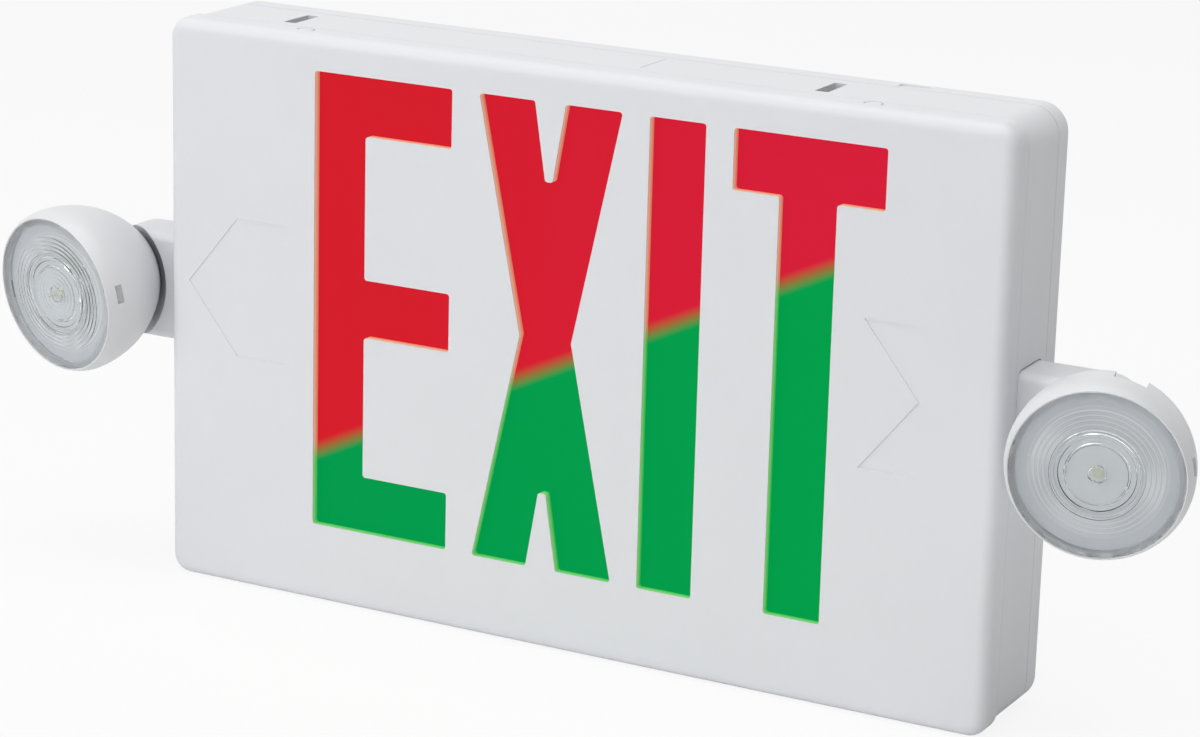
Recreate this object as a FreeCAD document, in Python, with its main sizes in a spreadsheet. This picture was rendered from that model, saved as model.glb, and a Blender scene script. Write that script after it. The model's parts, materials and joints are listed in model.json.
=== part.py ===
import FreeCAD, Part
import math
import os
import Sketcher

# Wall-mounted emergency exit light with two swivelling lamp heads.
# Lengths in millimetres, angles in degrees.
# X to the right as seen from the room, Y into the wall, Z up.
# The origin is the centre of the wall face, so depth from the wall is -Y.

SIZES = {
    # housing
    "width": 298.5,
    "height": 191.0,
    "depth": 41.0,
    "corner_radius": 6.5,
    "frame_corner_radius": 9.0,
    "front_edge_radius": 4.0,
    "face_thickness": 2.9,
    "shell_wall": 2.0,
    "frame_wall": 3.4,
    "front_seam_depth": 31.0,
    "back_seam_depth": 7.2,
    "lip_length": 2.4,
    "front_seam_gap": 0.15,
    "back_seam_gap": 0.25,
    "lip_clearance": 0.2,
    # letter openings
    "letter_top_margin": 11.45,
    "letter_bottom_margin": 27.05,
    "letter_stroke": 19.3,
    "letter_left": -92.3,
    "letter_e_width": 51.1,
    "letter_x_left": -31.4,
    "letter_x_width": 51.0,
    "letter_x_stroke": 20.0,
    "letter_x_waist": 18.6,
    "letter_x_notch": 2.6,
    "letter_x_notch_drop": 25.4,
    "letter_i_left": 29.0,
    "letter_t_left": 57.8,
    "letter_corner_radius": 1.0,
    "letter_t_width": 50.9,
    # arrow recesses in the face
    "arrow_length": 37.8,
    "arrow_flank": 18.8,
    "arrow_side_margin": 8.05,
    "arrow_half_height": 23.5,
    "arrow_recess": 0.35,
    # marks and slots in the top wall
    "top_mark_offset": 100.2,
    "top_mark_radius": 3.1,
    "top_mark_width": 0.5,
    "top_mark_end_radius": 0.55,
    "top_mark_depth": 34.3,
    "top_mark_recess": 0.5,
    "top_line_place": 17.7,
    "top_line_near": 8.9,
    "top_line_far": 26.8,
    "top_line_width": 0.3,
    "top_line_recess": 0.3,
    "canopy_slot_left": -111.2,
    "canopy_slot_right": 79.6,
    "canopy_slot_width": 4.4,
    "canopy_slot_length": 14.5,
    "canopy_slot_depth": 19.75,
    "latch_notch_centre": 100.0,
    "latch_notch_width": 10.0,
    "latch_notch_depth": 3.6,
    "latch_notch_height": 3.6,
    "latch_notch_recess": 0.6,
    # back plate
    "back_floor": 2.2,
    "cable_hole_radius": 11.1,
    "wall_slot_spacing": 88.9,
    "wall_slot_radius": 2.3,
    "wall_slot_run": 7.4,
    # letter panel, tray and light strips
    "panel_thickness": 1.5,
    "panel_clearance": 0.3,
    "tray_side_gap": 23.25,
    "tray_edge_gap": 7.5,
    "tray_wall": 1.5,
    "tray_back_depth": 20.0,
    "tray_post_inset": 14.0,
    "tray_post_drop": 12.0,
    "tray_post_radius": 4.0,
    "strip_end_gap": 21.0,
    "strip_width": 10.0,
    "strip_thickness": 1.6,
    "strip_edge_gap": 36.0,
    "diode_end_gap": 17.0,
    "diode_width": 3.5,
    "diode_thickness": 1.4,
    "ribbon_width": 6.0,
    "ribbon_thickness": 0.8,
    "ribbon_place": 66.0,
    # screws
    "screw_radius": 1.5,
    "screw_hole_clearance": 0.1,
    "screw_length": 8.0,
    "screw_head_radius": 2.8,
    "screw_head_height": 1.9,
    "screw_recess_radius": 0.9,
    # control board
    "board_left": 10.0,
    "board_side_gap": 49.25,
    "board_rise": 17.5,
    "board_height": 50.0,
    "board_thickness": 1.6,
    "board_depth": 7.0,
    "board_post_radius": 3.2,
    "board_post_inset": 5.0,
    "socket_height": 9.0,
    "socket_width": 8.0,
    "socket_run": 10.0,
    "socket_rise": 15.0,
    "socket_step": 16.0,
    "capacitor_radius": 5.0,
    "capacitor_height": 10.6,
    "capacitor_place": 14.0,
    "capacitor_pitch": 13.0,
    "capacitor_rise": 38.0,
    "transistor_inset": 30.0,
    "transistor_pitch": 12.0,
    "transistor_width": 8.0,
    "transistor_height": 10.0,
    "transistor_thickness": 4.5,
    "transistor_rise": 34.0,
    # transformer and terminal
    "core_place_across": -52.0,
    "core_drop": 49.5,
    "core_width": 36.0,
    "core_height": 30.0,
    "core_thickness": 10.0,
    "core_limb": 6.0,
    "core_centre_limb": 10.0,
    "coil_clearance": 0.3,
    "coil_build": 2.6,
    "core_foot": 7.0,
    "core_foot_thickness": 3.1,
    "hook_thickness": 1.6,
    "hook_width": 5.0,
    "hook_overlap": 1.4,
    "hook_clearance": 0.15,
    "terminal_width": 30.0,
    "terminal_height": 11.0,
    "terminal_depth": 11.0,
    "terminal_place_up": 34.0,
    "terminal_pitch": 9.0,
    "terminal_well_radius": 2.2,
    # battery
    "cell_radius": 7.2,
    "cell_length": 49.0,
    "cell_clearance": 0.3,
    "battery_inset": 45.25,
    "battery_rise": 25.5,
    "holder_wall": 1.6,
    "holder_rise": 9.0,
    # test button and pilot lamp in the bottom wall
    "button_place": 60.0,
    "button_depth": 13.0,
    "button_radius": 4.0,
    "button_clearance": 0.3,
    "button_sunk": 0.4,
    "button_travel": 1.5,
    "button_length": 11.0,
    "button_collar_radius": 5.4,
    "button_collar_height": 1.6,
    "button_sleeve_wall": 1.6,
    "button_sleeve_length": 4.0,
    "plunger_radius": 1.6,
    "switch_width": 8.0,
    "switch_height": 7.0,
    "pilot_place": 80.0,
    "pilot_radius": 2.5,
    "pilot_length": 8.0,
    "pilot_clearance": 0.1,
    "pilot_leg": 0.6,
    "pilot_leg_pitch": 2.54,
    # arm blocks
    "arm_back_depth": 10.0,
    "arm_front_depth": 29.3,
    "arm_bottom": -18.0,
    "arm_top": 18.7,
    "arm_root": 16.25,
    "arm_reach": 36.75,
    "arm_corner_radius": 14.0,
    "arm_edge_radius": 3.0,
    "arm_slot_clearance": 0.15,
    "arm_slot_top_gap": 0.5,
    "ear_root": 18.25,
    "ear_thickness": 3.0,
    "ear_half_height": 30.0,
    "ear_screw_inset": 11.25,
    "ear_screw_offset": 25.0,
    "ear_post_radius": 3.6,
    "arm_boss_radius": 8.8,
    "lead_duct_radius": 2.2,
    "lead_duct_height": 4.0,
    "lead_duct_depth": 14.4,
    # lamp heads, measured from the pivot along the lamp axis
    "pivot_reach": 34.05,
    "pivot_depth": 45.8,
    "pivot_up": 0.5,
    "head_angle_out": 12.5,
    "head_angle_down": 6.5,
    "slot_angle_right": 15.0,
    "slot_angle_left": 195.0,
    "rim_reach": 10.0,
    "rim_radius": 26.5,
    "rim_lip": 0.4,
    "lens_seat": 1.8,
    "lens_gap": 0.1,
    "bore_radius": 25.2,
    "dome_radius": 28.1,
    "dome_widest": 4.0,
    "dome_side_radius": 36.0,
    "dome_wall": 2.0,
    "dome_pole": 29.3,
    "seat_radius": 30.4,
    "head_slot_width": 10.0,
    "head_slot_front": 0.5,
    "snap_angle": 66.6,
    "snap_width": 6.2,
    "snap_back": 4.0,
    "snap_front": 6.6,
    "snap_ramp": 1.9,
    "snap_clearance": 0.1,
    "seat_clearance": 0.3,
    "plate_back": 3.6,
    "plate_thickness": 1.2,
    "lug_inner": 3.3,
    "lug_thickness": 2.5,
    "lug_radius": 4.0,
    "lamp_board_thickness": 1.2,
    "lamp_diode_width": 3.2,
    "lamp_diode_height": 0.8,
    "lens_edge": 9.7,
    "lens_crown": 11.2,
    "lens_plate": 1.4,
    "lens_skirt": 1.5,
    "collimator_radius": 13.6,
    "collimator_foot": 5.0,
    "collimator_reach": 7.2,
    "collimator_cup": 2.7,
    "collimator_roof": 8.5,
    # neck, pin and clip
    "neck_radius": 4.4,
    "neck_bore_clearance": 0.05,
    "neck_eye_radius": 3.2,
    "neck_eye_thickness": 6.0,
    "neck_bar_length": 24.5,
    "neck_flange_radius": 7.0,
    "neck_flange_front": 31.0,
    "neck_flange_thickness": 2.0,
    "neck_flange_clearance": 0.2,
    "neck_bearing_end": 39.5,
    "neck_end": 41.4,
    "neck_hole_radius": 1.6,
    "arm_boss_end": 41.2,
    "clip_thickness": 0.8,
    "clip_inner_radius": 3.4,
    "clip_outer_radius": 6.4,
    "clip_gap": 4.0,
    "clip_well_radius": 7.2,
    "clip_clearance": 0.1,
    "pin_radius": 1.25,
    "pin_clearance": 0.05,
    "pin_head_radius": 2.3,
    "pin_head_height": 1.0,
    # leads
    "lead_radius": 0.8,
    "lead_pitch": 2.0,
    "lead_core_gap": 7.0,
}


class Size:
    """A number that keeps the formula it comes from."""

    def __init__(self, text, value):
        self.text = text
        self.value = float(value)

    def __add__(self, other):
        other = as_size(other)
        return Size("(%s + %s)" % (self.text, other.text), self.value + other.value)

    def __radd__(self, other):
        return as_size(other) + self

    def __sub__(self, other):
        other = as_size(other)
        return Size("(%s - %s)" % (self.text, other.text), self.value - other.value)

    def __rsub__(self, other):
        return as_size(other) - self

    def __mul__(self, other):
        other = as_size(other)
        return Size("(%s * %s)" % (self.text, other.text), self.value * other.value)

    def __rmul__(self, other):
        return as_size(other) * self

    def __truediv__(self, other):
        other = as_size(other)
        return Size("(%s / %s)" % (self.text, other.text), self.value / other.value)

    def __neg__(self):
        return Size("(0 - %s)" % self.text, -self.value)


def as_size(number):
    """Wrap a bare number so that it joins in formulas."""
    if isinstance(number, Size):
        return number
    return Size("(%s)" % repr(float(number)), number)


doc = FreeCAD.newDocument("ExitLight")
sheet = doc.addObject("Spreadsheet::Sheet", "Sizes")
for row, (word, number) in enumerate(SIZES.items(), start=1):
    sheet.set("A%d" % row, word)
    sheet.set("B%d" % row, str(number))
    sheet.setAlias("B%d" % row, word)
doc.recompute()


def size(word):
    """A named size with its formula."""
    return Size("Sizes." + word, sheet.get(word))


def bind(thing, prop, number):
    """Tie a property to a formula of named sizes."""
    thing.setExpression(prop, as_size(number).text)


# Helpers


def new_body(label):
    body = doc.addObject("PartDesign::Body", label)
    body.Label = label
    return body


def sketch_on(body, name, role, offset):
    """A sketch on one of the body's own origin planes, moved along its normal."""
    sketch = body.newObject("Sketcher::SketchObject", name)
    plane = [f for f in body.Origin.OriginFeatures if f.Role == role][0]
    sketch.AttachmentSupport = (plane, [""])
    sketch.MapMode = "FlatFace"
    bind(sketch, "AttachmentOffset.Base.z", offset)
    return sketch


def hold(sketch, kind, numbers, value):
    """Set a distance that follows the named sizes, or lie on the axis at zero."""
    value = as_size(value)
    if kind in ("DistanceX", "DistanceY") and value.text == "(0.0)":
        axis = -2 if kind == "DistanceX" else -1
        sketch.addConstraint(Sketcher.Constraint("PointOnObject", numbers[2], numbers[3], axis))
        return
    index = sketch.addConstraint(Sketcher.Constraint(kind, *numbers, value.value))
    sketch.setExpression("Constraints[%d]" % index, value.text)


def hold_point(sketch, edge, end, point):
    hold(sketch, "DistanceX", (-1, 1, edge, end), point[0])
    hold(sketch, "DistanceY", (-1, 1, edge, end), point[1])


def join(sketch, edge, end, other, other_end):
    sketch.addConstraint(Sketcher.Constraint("Coincident", edge, end, other, other_end))


def vector(point):
    return FreeCAD.Vector(as_size(point[0]).value, as_size(point[1]).value, 0)


def draw_line(sketch, start, end):
    return sketch.addGeometry(Part.LineSegment(vector(start), vector(end)), False)


def draw_arc(sketch, centre, radius, start, end):
    circle = Part.Circle(vector(centre), FreeCAD.Vector(0, 0, 1), as_size(radius).value)
    arc = Part.ArcOfCircle(circle, math.radians(start), math.radians(end))
    return sketch.addGeometry(arc, False)


def draw_circle(sketch, centre, radius):
    circle = Part.Circle(vector(centre), FreeCAD.Vector(0, 0, 1), as_size(radius).value)
    edge = sketch.addGeometry(circle, False)
    hold_point(sketch, edge, 3, centre)
    hold(sketch, "Radius", (edge,), radius)


def draw_polygon(sketch, points):
    """A closed outline through points that all follow the named sizes."""
    count = len(points)
    edges = [draw_line(sketch, points[i], points[(i + 1) % count]) for i in range(count)]
    for i, edge in enumerate(edges):
        join(sketch, edge, 2, edges[(i + 1) % count], 1)
        hold_point(sketch, edge, 1, points[i])


def draw_rectangle(sketch, left, right, low, high):
    draw_polygon(sketch, [(left, low), (right, low), (right, high), (left, high)])


def draw_rounded(sketch, left, right, low, high, radius):
    """A rectangle with one radius on its four corners."""
    near = [(left + radius, low), (right, low + radius), (right - radius, high), (left, high - radius)]
    far = [(right - radius, low), (right, high - radius), (left + radius, high), (left, low + radius)]
    centre = [(right - radius, low + radius), (right - radius, high - radius),
              (left + radius, high - radius), (left + radius, low + radius)]
    lines = [draw_line(sketch, near[i], far[i]) for i in range(4)]
    for i, edge in enumerate(lines):
        hold_point(sketch, edge, 1, near[i])
        hold_point(sketch, edge, 2, far[i])
        arc = draw_arc(sketch, centre[i], radius, -90 + 90 * i, 90 * i)
        join(sketch, arc, 1, edge, 2)
        join(sketch, arc, 2, lines[(i + 1) % 4], 1)
        hold(sketch, "Radius", (arc,), radius)


def draw_slot(sketch, across, up, run, radius):
    """A slot with round ends that runs along the sketch's first axis."""
    half = run / 2
    lower = draw_line(sketch, (across - half, up - radius), (across + half, up - radius))
    upper = draw_line(sketch, (across + half, up + radius), (across - half, up + radius))
    for edge, low, high in ((lower, across - half, across + half), (upper, across + half, across - half)):
        rise = up - radius if edge == lower else up + radius
        hold_point(sketch, edge, 1, (low, rise))
        hold_point(sketch, edge, 2, (high, rise))
    for edge, other, centre, turn in ((lower, upper, across + half, -90), (upper, lower, across - half, 90)):
        arc = draw_arc(sketch, (centre, up), radius, turn, turn + 180)
        join(sketch, arc, 1, edge, 2)
        join(sketch, arc, 2, other, 1)
        hold(sketch, "DistanceX", (-1, 1, arc, 3), centre)


def draw_half_ring(sketch, centre, outer, inner):
    """The far half of a ring, closed by two short lines."""
    far = draw_arc(sketch, centre, outer, 0, 180)
    near = draw_arc(sketch, centre, inner, 0, 180)
    ends = []
    for side, end in ((1, 1), (-1, 2)):
        line = draw_line(sketch, (centre[0] + inner * side, centre[1]), (centre[0] + outer * side, centre[1]))
        hold_point(sketch, line, 1, (centre[0] + inner * side, centre[1]))
        hold_point(sketch, line, 2, (centre[0] + outer * side, centre[1]))
        join(sketch, near, end, line, 1)
        join(sketch, far, end, line, 2)
        ends.append(line)
    hold(sketch, "DistanceY", (-1, 1, far, 3), centre[1])
    hold(sketch, "DistanceY", (-1, 1, near, 3), centre[1])
    return ends


def pad(body, name, sketch, length, back=False):
    feature = body.newObject("PartDesign::Pad", name)
    feature.Profile = sketch
    feature.Reversed = back
    bind(feature, "Length", length)
    doc.recompute()
    return feature


def pocket(body, name, sketch, length, back=False, both=False):
    """Cut below the sketch, or above it with back, and check that material went."""
    before = body.Shape.Volume
    feature = body.newObject("PartDesign::Pocket", name)
    feature.Profile = sketch
    feature.Reversed = back
    if both:
        feature.SideType = "Symmetric"
    bind(feature, "Length", length)
    doc.recompute()
    if body.Shape.Volume > before - 0.01:
        raise ValueError("nothing was cut by " + name)
    return feature


def round_edges(body, name, feature, radius, wanted):
    """Fillet the edges of a feature that the test picks."""
    edges = ["Edge%d" % (i + 1) for i, edge in enumerate(feature.Shape.Edges) if wanted(edge)]
    fillet = body.newObject("PartDesign::Fillet", name)
    fillet.Base = (feature, edges)
    bind(fillet, "Radius", radius)
    doc.recompute()
    return fillet


def primitive(kind, name, base=None, turn=None, **sizes):
    """A simple solid with its sizes and its place tied to the named sizes."""
    thing = doc.addObject("Part::" + kind, name)
    for prop, number in sizes.items():
        bind(thing, prop, number)
    if turn:
        thing.Placement.Rotation = FreeCAD.Rotation(FreeCAD.Vector(*turn[0]), turn[1])
    for axis, number in zip("xyz", base or ()):
        bind(thing, "Placement.Base." + axis, number)
    return thing


def block(name, left, right, near, far, low, high):
    """A box between two depths from the wall."""
    base = (left, -as_size(far), low)
    return primitive("Box", name, base, None, Length=right - left, Width=far - near, Height=high - low)


def box(name, x_span, y_span, z_span):
    """A box in the frame of a lamp head."""
    spans = [(as_size(low), as_size(high)) for low, high in (x_span, y_span, z_span)]
    base = [low for low, high in spans]
    length, width, height = [high - low for low, high in spans]
    return primitive("Box", name, base, None, Length=length, Width=width, Height=height)


def rod(name, radius, across, near, far, up):
    """A round bar along the depth."""
    base = (across, -as_size(near), up)
    return primitive("Cylinder", name, base, ((1, 0, 0), 90), Radius=radius, Height=far - near)


def upright(name, radius, across, depth, low, high):
    """A round bar along Z."""
    return primitive("Cylinder", name, (across, -as_size(depth), low), None, Radius=radius, Height=high - low)


def crossbar(name, radius, left, right, y, z):
    """A round bar along X."""
    return primitive("Cylinder", name, (left, y, z), ((0, 1, 0), 90), Radius=radius, Height=right - left)


def fuse(name, things):
    thing = doc.addObject("Part::MultiFuse", name)
    thing.Shapes = list(things)
    thing.Refine = True
    return thing


def cut(name, base, tools):
    thing = doc.addObject("Part::Cut", name)
    thing.Base = base
    thing.Tool = tools[0] if len(tools) == 1 else fuse(name + "_tools", tools)
    return thing


def group(name, things):
    """Identical or allied pieces kept as separate solids of one sub-part."""
    thing = doc.addObject("Part::Compound", name)
    thing.Links = list(things)
    return thing


# Frames of the lamp heads


def head_axes(side, slot_turn):
    """Pivot, pin axis, slot direction and lamp axis of one head (side is 1 right, -1 left)."""
    out = math.radians(size("head_angle_out").value)
    down = math.radians(size("head_angle_down").value)
    pivot = FreeCAD.Vector(side * pivot_across.value, -size("pivot_depth").value, size("pivot_up").value)
    level = math.cos(down)
    forward = FreeCAD.Vector(side * math.sin(out) * level, -math.cos(out) * level, -math.sin(down))
    up = FreeCAD.Vector(0, 0, 1) - forward * forward.z
    up.normalize()
    right = up.cross(forward)
    turn = math.radians(slot_turn.value)
    slot = up * math.cos(turn) + right * math.sin(turn)
    return pivot, slot.cross(forward), slot, forward


def head_place(side, slot_turn):
    pivot, pin, slot, forward = head_axes(side, slot_turn)
    return FreeCAD.Placement(pivot, FreeCAD.Rotation(pin, slot, forward, "ZXY"))


half_width = size("width") / 2
half_height = size("height") / 2
arm_inner = half_width - size("arm_root")
arm_outer = half_width + size("arm_reach")
ear_inner = half_width - size("ear_root")
ear_screw = half_width - size("ear_screw_inset")
pivot_across = half_width + size("pivot_reach")
tray_half_width = half_width - size("tray_side_gap")
tray_half_height = half_height - size("tray_edge_gap")
strip_half = tray_half_width - size("strip_end_gap")
strip_offset = tray_half_height - size("strip_edge_gap")
board_bottom = size("board_rise") - half_height
board_right = half_width - size("board_side_gap")
board_run = board_right - size("board_left")
RIGHT = head_place(1, size("slot_angle_right"))
LEFT = head_place(-1, size("slot_angle_left"))

# Housing


def make_front_faceplate():
    """Stencil face whose rim wraps back to the front seam."""
    body = new_body("front_faceplate")
    outline = sketch_on(body, "FaceOutline", "XZ_Plane", size("front_seam_depth"))
    draw_rounded(outline, -half_width, half_width, -half_height, half_height, size("corner_radius"))
    slab = pad(body, "FaceSlab", outline, size("depth") - size("front_seam_depth"))
    front = -size("depth").value
    round_edges(body, "FaceRounding", slab, size("front_edge_radius"),
                lambda edge: all(abs(v.Point.y - front) < 0.01 for v in edge.Vertexes))
    inner = sketch_on(body, "FaceHollowOutline", "XZ_Plane", size("front_seam_depth"))
    wide = half_width - size("shell_wall")
    tall = half_height - size("shell_wall")
    draw_rounded(inner, -wide, wide, -tall, tall, size("corner_radius") - size("shell_wall"))
    hollow = size("depth") - size("front_seam_depth") - size("face_thickness")
    pocket(body, "FaceHollow", inner, hollow, back=True)
    letters = sketch_on(body, "LetterOutlines", "XZ_Plane", size("depth"))
    for outline in letter_outlines():
        draw_polygon(letters, outline)
    opened = pocket(body, "LetterOpenings", letters, size("face_thickness") + size("panel_thickness"))
    reach = (size("letter_t_left") + size("letter_t_width")).value + 1
    round_edges(body, "LetterCorners", opened, size("letter_corner_radius"),
                lambda edge: edge.BoundBox.XLength < 0.01 and edge.BoundBox.ZLength < 0.01
                and abs(edge.BoundBox.Center.x) < reach and edge.BoundBox.YMin < front + 0.01)
    arrows = sketch_on(body, "ArrowOutlines", "XZ_Plane", size("depth"))
    for side in (1, -1):
        draw_polygon(arrows, arrow_outline(side))
    pocket(body, "ArrowRecesses", arrows, size("arrow_recess"))
    marks = sketch_on(body, "TopMarkOutlines", "XY_Plane", half_height)
    for side in (1, -1):
        draw_half_ring(marks, (size("top_mark_offset") * side, -size("top_mark_depth")),
                       size("top_mark_radius"), size("top_mark_radius") - size("top_mark_width"))
    pocket(body, "TopMarks", marks, size("top_mark_recess"))
    ends = sketch_on(body, "TopMarkEndOutlines", "XY_Plane", half_height)
    reach = size("top_mark_radius") - size("top_mark_width") / 2
    for side in (1, -1):
        for end in (1, -1):
            across = size("top_mark_offset") * side + reach * end
            draw_circle(ends, (across, -size("top_mark_depth")), size("top_mark_end_radius"))
    pocket(body, "TopMarkEnds", ends, size("top_mark_recess") * 2)
    return body


def letter_outlines():
    """Outlines of the four stencil openings."""
    high = half_height - size("letter_top_margin")
    low = size("letter_bottom_margin") - half_height
    middle = (high + low) / 2
    bar = size("letter_stroke")
    left = size("letter_left")
    right = left + size("letter_e_width")
    stem = left + bar
    letter_e = [(left, low), (right, low), (right, low + bar), (stem, low + bar),
                (stem, middle - bar / 2), (right, middle - bar / 2), (right, middle + bar / 2),
                (stem, middle + bar / 2), (stem, high - bar), (right, high - bar),
                (right, high), (left, high)]
    left = size("letter_x_left")
    right = left + size("letter_x_width")
    leg = size("letter_x_stroke")
    axis = (left + right) / 2
    waist = size("letter_x_waist") / 2
    blunt = size("letter_x_notch") / 2
    dip = size("letter_x_notch_drop")
    letter_x = [(left, low), (left + leg, low), (axis - blunt, low + dip), (axis + blunt, low + dip),
                (right - leg, low), (right, low), (axis + waist, middle), (right, high),
                (right - leg, high), (axis + blunt, high - dip), (axis - blunt, high - dip),
                (left + leg, high), (left, high), (axis - waist, middle)]
    left = size("letter_i_left")
    letter_i = [(left, low), (left + bar, low), (left + bar, high), (left, high)]
    left = size("letter_t_left")
    right = left + size("letter_t_width")
    stem = (left + right) / 2 - bar / 2
    letter_t = [(stem, low), (stem + bar, low), (stem + bar, high - bar), (right, high - bar),
                (right, high), (left, high), (left, high - bar), (stem, high - bar)]
    return letter_e, letter_x, letter_i, letter_t


def arrow_outline(side):
    """Chevron that points away from the letters."""
    middle = (size("letter_bottom_margin") - size("letter_top_margin")) / 2
    rise = size("arrow_half_height")
    tip = half_width - size("arrow_side_margin")
    inner = tip - size("arrow_length")
    thick = size("arrow_flank")
    points = [(inner, middle + rise), (inner + thick, middle + rise), (tip, middle),
              (inner + thick, middle - rise), (inner, middle - rise), (tip - thick, middle)]
    return [(across * side, up) for across, up in points]


def make_housing_frame():
    """Ring between the seams, with stepped lips and the openings for arms, hooks and button."""
    body = new_body("housing_frame")
    wall = size("frame_wall")
    lip = size("shell_wall") + size("lip_clearance")
    corner = size("frame_corner_radius")
    ring = sketch_on(body, "RingOutline", "XZ_Plane", size("back_seam_depth") + size("back_seam_gap"))
    draw_rounded(ring, -half_width, half_width, -half_height, half_height, corner)
    inner = corner - wall
    draw_rounded(ring, wall - half_width, half_width - wall, wall - half_height, half_height - wall, inner)
    span = size("front_seam_depth") - size("back_seam_depth") - size("front_seam_gap") - size("back_seam_gap")
    pad(body, "Ring", ring, span)
    step = sketch_on(body, "LipOutline", "XZ_Plane", size("back_seam_depth") - size("lip_length"))
    outer = corner - lip
    draw_rounded(step, lip - half_width, half_width - lip, lip - half_height, half_height - lip, outer)
    draw_rounded(step, wall - half_width, half_width - wall, wall - half_height, half_height - wall, inner)
    reach = size("front_seam_depth") - size("back_seam_depth") + size("lip_length") * 2
    pad(body, "Lips", step, reach)
    make_frame_openings(body)
    return body


def make_frame_openings(body):
    """Cut the arm openings, canopy slots and the button's sleeve."""
    wall = size("frame_wall")
    gap = size("arm_slot_clearance")
    arms = sketch_on(body, "ArmOpeningOutline", "YZ_Plane", 0)
    draw_rounded(arms, -size("arm_front_depth") - gap, gap - size("arm_back_depth"),
                 size("arm_bottom") - gap, size("arm_top") + size("arm_slot_top_gap"),
                 size("arm_edge_radius"))
    pocket(body, "ArmOpenings", arms, size("width") + wall, both=True)
    slots = sketch_on(body, "CanopySlotOutlines", "XY_Plane", half_height)
    half = size("canopy_slot_width") / 2
    run = size("canopy_slot_length") / 2
    for place in (size("canopy_slot_left"), size("canopy_slot_right")):
        draw_rectangle(slots, place - half, place + half,
                       -size("canopy_slot_depth") - run, run - size("canopy_slot_depth"))
    pocket(body, "CanopySlots", slots, wall * 1.5)
    line = sketch_on(body, "TopLineOutline", "XY_Plane", half_height)
    half = size("top_line_width") / 2
    draw_rectangle(line, size("top_line_place") - half, size("top_line_place") + half,
                   -size("top_line_far"), -size("top_line_near"))
    pocket(body, "TopLine", line, size("top_line_recess"))
    floor = -half_height
    place = (size("button_place"), -size("button_depth"))
    opening = size("button_radius") + size("button_clearance")
    sleeve = sketch_on(body, "SleeveOutline", "XY_Plane", floor + wall)
    draw_circle(sleeve, place, opening + size("button_sleeve_wall"))
    pad(body, "Sleeve", sleeve, size("button_sleeve_length"))
    holes = sketch_on(body, "BottomHoleOutlines", "XY_Plane", floor)
    draw_circle(holes, place, opening)
    pilot = size("pilot_radius") + size("pilot_clearance")
    draw_circle(holes, (size("pilot_place"), -size("button_depth")), pilot)
    pocket(body, "BottomHoles", holes, wall + size("button_sleeve_length") * 1.5, back=True)


def corner_places(across, up):
    return [(across * i, up * j) for i in (-1, 1) for j in (-1, 1)]


def make_back_plate():
    """Shallow tray against the wall that carries the bosses, cable hole and wall slots."""
    body = new_body("back_plate")
    outline = sketch_on(body, "PlateOutline", "XZ_Plane", 0)
    draw_rounded(outline, -half_width, half_width, -half_height, half_height, size("frame_corner_radius"))
    pad(body, "PlateSlab", outline, size("back_seam_depth"))
    inner = sketch_on(body, "PlateHollowOutline", "XZ_Plane", size("back_seam_depth"))
    wall = size("shell_wall")
    draw_rounded(inner, wall - half_width, half_width - wall, wall - half_height, half_height - wall,
                 size("frame_corner_radius") - wall)
    pocket(body, "PlateHollow", inner, size("back_seam_depth") - size("back_floor"))
    make_back_posts(body)
    holes = sketch_on(body, "WallHoleOutlines", "XZ_Plane", size("back_seam_depth"))
    draw_circle(holes, (as_size(0), as_size(0)), size("cable_hole_radius"))
    for side in (-1, 1):
        across = size("wall_slot_spacing") / 2 * side
        draw_slot(holes, across, as_size(0), size("wall_slot_run"), size("wall_slot_radius"))
    pocket(body, "WallHoles", holes, size("back_seam_depth") * 2)
    notch = sketch_on(body, "LatchNotchOutline", "XY_Plane", half_height)
    place = size("latch_notch_centre")
    half = size("latch_notch_width") / 2
    run = size("latch_notch_height") / 2
    draw_rectangle(notch, place - half, place + half,
                   -size("latch_notch_depth") - run, run - size("latch_notch_depth"))
    pocket(body, "LatchNotch", notch, size("latch_notch_recess"))
    return body


def make_back_posts(body):
    """Screw posts for the tray, the arm ears, the board and the transformer."""
    hole = size("screw_radius")
    kinds = (
        ("TrayPost", tray_places(), size("tray_post_radius"), size("tray_back_depth")),
        ("EarPost", ear_places(), size("ear_post_radius"), size("arm_back_depth")),
        ("BoardPost", board_places(), size("board_post_radius"), size("board_depth")),
    )
    for name, places, radius, reach in kinds:
        posts = sketch_on(body, name + "Outlines", "XZ_Plane", size("back_floor"))
        for place in places:
            draw_circle(posts, place, radius)
            draw_circle(posts, place, hole)
        pad(body, name + "s", posts, reach - size("back_floor"))
    make_core_hooks(body)


def make_core_hooks(body):
    """Two moulded hooks that reach over the transformer's feet."""
    across, up = core_middle()
    gap = size("hook_clearance")
    foot_top = size("back_floor") + size("core_foot_thickness") + gap
    end = size("core_width") / 2 + size("core_foot") + gap
    half = size("hook_width") / 2
    stems = sketch_on(body, "HookStemOutlines", "XZ_Plane", size("back_floor"))
    tips = sketch_on(body, "HookTipOutlines", "XZ_Plane", foot_top)
    far = end + size("hook_thickness")
    for side in (-1, 1):
        for sketch, near in ((stems, end), (tips, end - size("hook_overlap"))):
            left, right = (across - far, across - near) if side < 0 else (across + near, across + far)
            draw_rectangle(sketch, left, right, up - half, up + half)
    pad(body, "HookStems", stems, foot_top - size("back_floor"))
    pad(body, "HookTips", tips, size("hook_thickness"))


def tray_places():
    return corner_places(tray_half_width - size("tray_post_inset"), tray_half_height - size("tray_post_drop"))


def ear_places():
    return corner_places(ear_screw, size("ear_screw_offset"))


def board_places():
    inset = size("board_post_inset")
    left = size("board_left") + inset
    right = board_right - inset
    low = board_bottom + inset
    high = board_bottom + size("board_height") - inset
    return [(left, low), (left, high), (right, low), (right, high)]


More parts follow.
